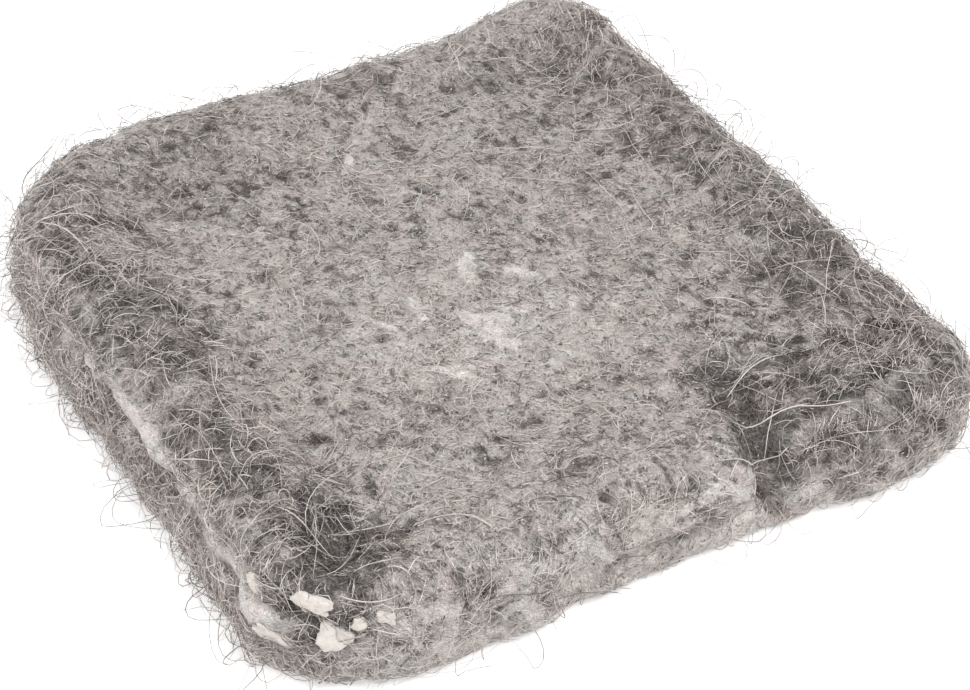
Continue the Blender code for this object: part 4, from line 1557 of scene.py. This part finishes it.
def strand_finish():
    """The strands' one material, made when it is first needed."""
    return bpy.data.materials.get("steel_strands") or strand_material(bpy.context.scene.pad_colours)


class PAD_OT_body(bpy.types.Operator):
    """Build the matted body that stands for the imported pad"""

    bl_idname = "pad.body"
    bl_label = "Matted body"

    def execute(self, context):
        points, quads, fan, quad_map, fan_map = body_grid()
        normals = settle(points.copy(), np.zeros(len(points)), rounds=1)[1]
        below = points[:, 2] < UNDERSIDE_HEIGHT
        normals[below] = (0.0, 0.0, -1.0)
        relief = body_relief(points)
        moved = points + normals * (relief - BODY_DEPTH)[:, None]
        flat = np.maximum(points[:, 2], BODY_CLEARANCE) + 0.00008 * value_noise(points, 0.0012, 91)
        moved[:, 2] = np.where(below, flat, np.maximum(moved[:, 2], BODY_LOWEST))
        finish = body_material(context.scene.pad_colours)
        item = add_mesh("wool_body", moved, quads, fan, quad_map, fan_map, finish, ("OFBake",))
        thick = np.maximum(soap_line(points), 0.95 * soap_smears(points))
        thin = (0.78 + 0.17 * end_band(points)) * soapiness(points) * (1.0 - 0.6 * gap_depth(points))
        # The slow patches of painted shade and painted light also darken and lighten the soap.
        thin = thin + 0.8 * light_and_shade_patches(points)
        add_values(item, "soap", np.maximum(thin, 1.05 * thick))
        # Painted shade: darker in the open gaps, pinholes, creases, pits and slits, between the end ropes, on
        # the loose wool, on the lobe and the roll side and in the dark slow patches; lighter on the curled
        # tip, on the walls and in the pale patches, and less where soap fills the wool.
        dark = 0.9 * gap_depth(points) + 0.25 * looseness(points)
        dark = dark + 0.15 * shade_and_rust(points) + 0.7 * pinholes(points)
        dark = dark + 0.45 * crease_share(points) - 0.25 * curl_share(points) - 1.2 * light_and_shade_patches(points)
        dark = dark + 1.4 * np.maximum(-end_ropes(points), 0.0)
        dark = dark * (1.0 - 0.85 * soap_film(points)) * (1.0 - 0.4 * painted_wall_light(points))
        dark = dark * (1.0 - 0.9 * thick)
        add_values(item, "painted_shade", np.clip(dark + pit_depth(points), 0.0, 1.0))
        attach(item, "root")
        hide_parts("wool_pad")
        return {"FINISHED"}


class PAD_OT_matted_strands(bpy.types.Operator):
    """Lay the short curled strands of the matted middle"""

    bl_idname = "pad.matted_strands"
    bl_label = "Matted strands"

    def execute(self, context):
        sizes = context.scene.pad_sizes
        count, steps = 7400, 4
        for number, side in ((1, 1.0), (2, -1.0)):
            rng, starts, headings, length, bend = strand_plan(
                number,
                count,
                lambda spots: (1.0 - 0.75 * looseness(spots))
                * (spots[:, 2] > 0.004)
                * (side * spots[:, 0] > 0.0),
                lambda *start: combed_heading(*start, 3.0),
                sizes.matted_length,
                (0.4, 1.5),
                0.65,
            )
            offsets = sunk_offsets(rng, count, steps, -0.00032, 0.00002, -0.00040)
            paths, ways = lay_strands(rng, starts, headings, length, bend, 0.35, offsets)
            bare = 0.6 * soap_smears(paths[:, 2]) + 0.35 * soap_film(paths[:, 2])
            keep = clear_of_pits(paths) & (rng.random(count) > bare)
            paths, ways = paths[keep], ways[keep]
            tones = strand_tones(rng, paths, 0.26)
            width = 0.68 * sizes.strand_width
            strand_piece(f"matted_strands_{number}", rng, paths, ways, tones, width, (0.6, 1.35))
        return {"FINISHED"}


class PAD_OT_rim_strands(bpy.types.Operator):
    """Lay the longer strands of the loose rims and the sides"""

    bl_idname = "pad.rim_strands"
    bl_label = "Rim strands"

    def execute(self, context):
        sizes = context.scene.pad_sizes
        count, steps = 8150, 5
        for number, side in ((1, 1.0), (2, -1.0)):
            rng, starts, headings, length, bend = strand_plan(
                10 + number,
                count,
                lambda spots: (0.05 + open_share(spots) * (1.0 - 0.80 * soap_film(spots)))
                * (spots[:, 2] > 0.0009)
                * (side * spots[:, 1] > 0.0),
                lambda *start: drawn_heading(start[0], combed_heading(*start, 1.3, 0.0032)),
                sizes.rim_length,
                (0.35, 1.5),
                0.22,
            )
            offsets = sunk_offsets(rng, count, steps, -0.00030, 0.00030, -0.00036)
            offsets = offsets * (0.7 + 0.5 * looseness(starts)[:, None])
            sunk = (rng.random(count) * gap_depth(starts) * (rng.random(count) < 0.6))[:, None]
            paths, ways = lay_strands(rng, starts, headings, length, bend, 0.15, offsets - 0.00055 * sunk)
            keep = clear_of_pits(paths) | (rng.random(count) < 0.12)
            paths, ways, sunk = paths[keep], ways[keep], sunk[keep]
            # Strands sunk into the gaps are painted darker as shade.
            tones = np.clip(strand_tones(rng, paths, 0.20) - 0.22 * sunk, *TONES)
            width = 0.74 * sizes.strand_width
            strand_piece(f"rim_strands_{number}", rng, paths, ways, tones, width, (0.45, 1.4))
        return {"FINISHED"}


class PAD_OT_wool_bits(bpy.types.Operator):
    """Lay the short thick bits on the matted wool: crumbs coated with soap and dull cut ends"""

    bl_idname = "pad.wool_bits"
    bl_label = "Wool bits"

    def execute(self, context):
        sizes = context.scene.pad_sizes
        rng = np.random.default_rng(SEED + 50)
        count, steps = 3600, 3
        starts, normals = scattered_starts(
            rng,
            lambda spots: (0.25 + 0.5 * soap_film(spots) + 0.4 * pale_middle(spots) + 1.2 * end_band(spots))
            * (1.0 - 0.7 * looseness(spots))
            * (spots[:, 2] > 0.0012),
            count,
        )
        headings = combed_heading(starts, normals, rng, 3.0)
        length = 3.2 * sizes.strand_width * rng.uniform(0.5, 1.5, count)
        offsets = rng.uniform(-0.00008, 0.00006, (count, 1)) + np.zeros((count, steps + 1))
        paths, ways = lay_strands(rng, starts, headings, length, rng.normal(0.0, 0.4, count), 0.3, offsets)
        keep = clear_of_pits(paths)
        paths, ways = paths[keep], ways[keep]
        soaped = rng.random((len(paths), 1)) < 0.66
        tones = np.where(soaped, rng.uniform(0.85, 0.98, soaped.shape), rng.uniform(0.02, 0.12, soaped.shape))
        strand_piece("wool_bits", rng, paths, ways, tones, 1.15 * sizes.strand_width, (0.6, 1.4))
        return {"FINISHED"}


class PAD_OT_long_strands(bpy.types.Operator):
    """Lay the long bright strands that cross the top, scattered ones and named ones"""

    bl_idname = "pad.long_strands"
    bl_label = "Long strands"

    def execute(self, context):
        sizes = context.scene.pad_sizes
        count, steps = 300, 10
        rng, starts, headings, length, bend = strand_plan(
            20,
            count,
            lambda spots: (0.15 + looseness(spots)) * (spots[:, 2] > 0.0030),
            lambda *start: combed_heading(*start, 1.2),
            sizes.long_length,
            (0.5, 1.6),
            0.07,
        )
        offsets = sunk_offsets(rng, count, steps, 0.00000, 0.00045, -0.00030)
        laid = lay_strands(rng, starts, headings, length, bend, 0.06, offsets)
        paths, ways = (np.concatenate(pair) for pair in zip(laid, named_paths(steps)))
        tones = 0.56 + 0.14 * rng.standard_normal((len(paths), 1))
        # The named strands get a pale tone as a painted highlight.
        tones[count:] = 0.80
        tones = np.clip(tones, 0.05, 0.92)
        strand_piece("long_strands", rng, paths, ways, tones, sizes.strand_width, (0.5, 1.1), count)
        return {"FINISHED"}


class PAD_OT_stray_strands(bpy.types.Operator):
    """Lay the fuzz and the curly strands that stand out of the rims"""

    bl_idname = "pad.stray_strands"
    bl_label = "Stray strands"

    def execute(self, context):
        sizes = context.scene.pad_sizes
        for name, count, steps, reach, rise, bend_spread, seed in (
            ("rim_fuzz", 3600, 6, 0.32, 0.58, 0.32, 30),
            ("stray_strands", 800, 10, 0.95, 1.35, 0.26, 31),
        ):
            rng, starts, headings, length, bend = strand_plan(
                seed,
                count,
                lambda spots: np.where(top_share(spots) > 0.5, 0.03 + 0.35 * looseness(spots) ** 2, 1.0)
                * (spots[:, 2] > 0.0012)
                * np.where(spots[:, 0] > PAD_LENGTH / 2.0 - 0.006, 0.35, 1.0)
                * np.where(spots[:, 1] < -PAD_WIDTH / 2.0 + 0.004, 1.7, 1.0),
                lambda *start: edge_heading(*start, 0.7),
                reach * sizes.stray_length,
                (0.4, 1.4),
                bend_spread,
            )
            share = np.linspace(0.0, 1.0, steps + 1)[None, :]
            height = rise * sizes.stray_rise * rng.gamma(1.5, 0.6, (count, 1))
            height = np.minimum(height, 3.0 * sizes.stray_rise)
            free = rng.random((count, 1)) < 0.55
            arch = np.where(free, share**1.2, np.sin(math.pi * share))
            offsets = -0.00025 + (height + 0.00025) * arch
            paths, ways = lay_strands(rng, starts, headings, length, bend, 0.18, offsets)
            keep = (soap_line(paths[:, 1:-1]) < 0.5).all(axis=1)
            paths, ways = paths[keep], ways[keep]
            own = 0.36 + 0.16 * top_share(paths[:, :1]) + 0.18 * rng.standard_normal((len(paths), 1))
            strand_piece(name, rng, paths, ways, np.clip(own, 0.03, 0.9), sizes.strand_width, (0.42, 0.95))
        return {"FINISHED"}


class PAD_OT_underside_strands(bpy.types.Operator):
    """Lay the pressed strands of the underside"""

    bl_idname = "pad.underside_strands"
    bl_label = "Underside strands"

    def execute(self, context):
        sizes = context.scene.pad_sizes
        count, steps = 2300, 4
        rng, starts, headings, length, bend = strand_plan(
            40,
            count,
            lambda spots: (spots[:, 2] < 0.0012) * 1.0,
            lambda *start: combed_heading(*start, 2.4),
            sizes.matted_length,
            (0.8, 2.2),
            0.3,
        )
        offsets = sunk_offsets(rng, count, steps, -0.00026, -0.00006, -0.00040)
        paths, ways = lay_strands(rng, starts, headings, length, bend, 0.2, offsets)
        tones = strand_tones(rng, paths, 0.16, 0.08)
        strand_piece("underside_strands", rng, paths, ways, tones, sizes.strand_width, (0.8, 1.4))
        return {"FINISHED"}


class PAD_OT_soap(bpy.types.Operator):
    """Finish the soap flakes"""

    bl_idname = "pad.soap"
    bl_label = "Soap flakes"

    def execute(self, context):
        finish = soap_material(context.scene.pad_colours)
        for name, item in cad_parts.items():
            if name.startswith("soap_flake"):
                item.data.materials.clear()
                item.data.materials.append(finish)
        return {"FINISHED"}


class PAD_OT_stage(bpy.types.Operator):
    """Set up the floor, the lamps, the world and the camera"""

    bl_idname = "pad.stage"
    bl_label = "Stage"

    def execute(self, context):
        colours = context.scene.pad_colours
        build_floor(colours)
        build_world()
        build_lamps()
        build_camera()
        context.scene.view_settings.view_transform = "Standard"
        return {"FINISHED"}


def seen_directly(tree):
    """1 for what the camera sees straight, in a reflection or through a clear piece."""
    path = add_node(tree, "ShaderNodeLightPath")
    seen = math_node(tree, "MAXIMUM", path.outputs["Is Camera Ray"], path.outputs["Is Glossy Ray"])
    return math_node(tree, "MAXIMUM", seen, path.outputs["Is Transmission Ray"])


def build_floor(colours):
    """A plain pale floor that keeps the pad's shadow."""
    square = np.array([(0.0, 0.0), (1.0, 0.0), (1.0, 1.0), (0.0, 1.0)])
    corners = np.hstack([(2.0 * square - 1.0) * FLOOR_HALF, np.zeros((4, 1))])
    material, tree, shader = new_material("pale_floor")
    inputs = {
        "Base Color": opaque(colours.floor),
        "Roughness": 0.8,
        "Specular IOR Level": 0.0,
        "Emission Color": (1.0, 1.0, 1.0, 1.0),
        "Emission Strength": math_node(tree, "MULTIPLY", seen_directly(tree), FLOOR_GLOW),
    }
    set_inputs(tree, shader, inputs)
    none = np.zeros((0, 3), int)
    none_map = np.zeros((0, 3, 2))
    face = np.array([[0, 1, 2, 3]])
    floor = add_mesh("floor", corners, face, none, square[None], none_map, material, ("floor_map",))


def build_world():
    """An even pale surrounding, white where it is seen or mirrored."""
    world = bpy.data.worlds.new("studio")
    world.use_nodes = True
    tree = world.node_tree
    background = tree.nodes["Background"]
    strength = mapped(tree, seen_directly(tree), 0.0, 1.0, WORLD_LIGHT, 1.0)
    set_inputs(tree, background, {"Color": (1.0, 1.0, 1.0, 1.0), "Strength": strength})
    bpy.context.scene.world = world


def build_lamps():
    """One broad soft lamp above the end face's side and a weaker one behind the fold side."""
    for name, spot, size, power in LAMPS:
        lamp = bpy.data.lights.new(name, "AREA")
        lamp.shape = "SQUARE"
        lamp.size = size
        lamp.energy = power
        item = bpy.data.objects.new(name, lamp)
        item.location = spot
        item.rotation_euler = (Vector((0.0, 0.0, 0.005)) - Vector(spot)).to_track_quat("-Z", "Y").to_euler()
        bpy.context.scene.collection.objects.link(item)


def build_camera():
    """The camera at the picture's place and angle."""
    azimuth = math.radians(CAMERA_AZIMUTH)
    elevation = math.radians(CAMERA_ELEVATION)
    level = math.cos(elevation)
    way = Vector((math.sin(azimuth) * level, -math.cos(azimuth) * level, math.sin(elevation)))
    camera = bpy.data.cameras.new("camera")
    camera.lens = CAMERA_LENS
    camera.sensor_width = 36.0
    camera.sensor_fit = "HORIZONTAL"
    camera.clip_start = 0.01
    item = bpy.data.objects.new("camera", camera)
    item.location = Vector(CAMERA_TARGET) + way * CAMERA_DISTANCE
    item.rotation_euler = (-way).to_track_quat("-Z", "Y").to_euler()
    bpy.context.scene.collection.objects.link(item)
    bpy.context.scene.camera = item


class PAD_PT_panel(bpy.types.Panel):
    """Steps that build the pad"""

    bl_label = "Steel wool pad"
    bl_idname = "PAD_PT_panel"
    bl_space_type = "VIEW_3D"
    bl_region_type = "UI"
    bl_category = "Wool Pad"

    def draw(self, context):
        layout = self.layout
        for group in (context.scene.pad_sizes, context.scene.pad_colours):
            box = layout.box()
            for name in group.bl_rna.properties.keys():
                if name not in {"rna_type", "name"}:
                    box.prop(group, name)
        for step in STEPS:
            layout.operator(step.bl_idname)


STEPS = (
    PAD_OT_stage,
    PAD_OT_body,
    PAD_OT_matted_strands,
    PAD_OT_rim_strands,
    PAD_OT_wool_bits,
    PAD_OT_long_strands,
    PAD_OT_stray_strands,
    PAD_OT_underside_strands,
    PAD_OT_soap,
)
CLASSES = (PadSizes, PadColours) + STEPS + (PAD_PT_panel,)


def register():
    """Register the classes and the two groups of values."""
    for item in CLASSES:
        bpy.utils.register_class(item)
    bpy.types.Scene.pad_sizes = bpy.props.PointerProperty(type=PadSizes)
    bpy.types.Scene.pad_colours = bpy.props.PointerProperty(type=PadColours)


def unregister():
    """Remove the classes and the two groups of values."""
    del bpy.types.Scene.pad_colours
    del bpy.types.Scene.pad_sizes
    for item in reversed(CLASSES):
        bpy.utils.unregister_class(item)


def main():
    """Build every piece in order."""
    register()
    bpy.ops.pad.stage()
    bpy.ops.pad.body()
    bpy.ops.pad.matted_strands()
    bpy.ops.pad.rim_strands()
    bpy.ops.pad.wool_bits()
    bpy.ops.pad.long_strands()
    bpy.ops.pad.stray_strands()
    bpy.ops.pad.underside_strands()
    bpy.ops.pad.soap()


if __name__ == "__main__":
    main()
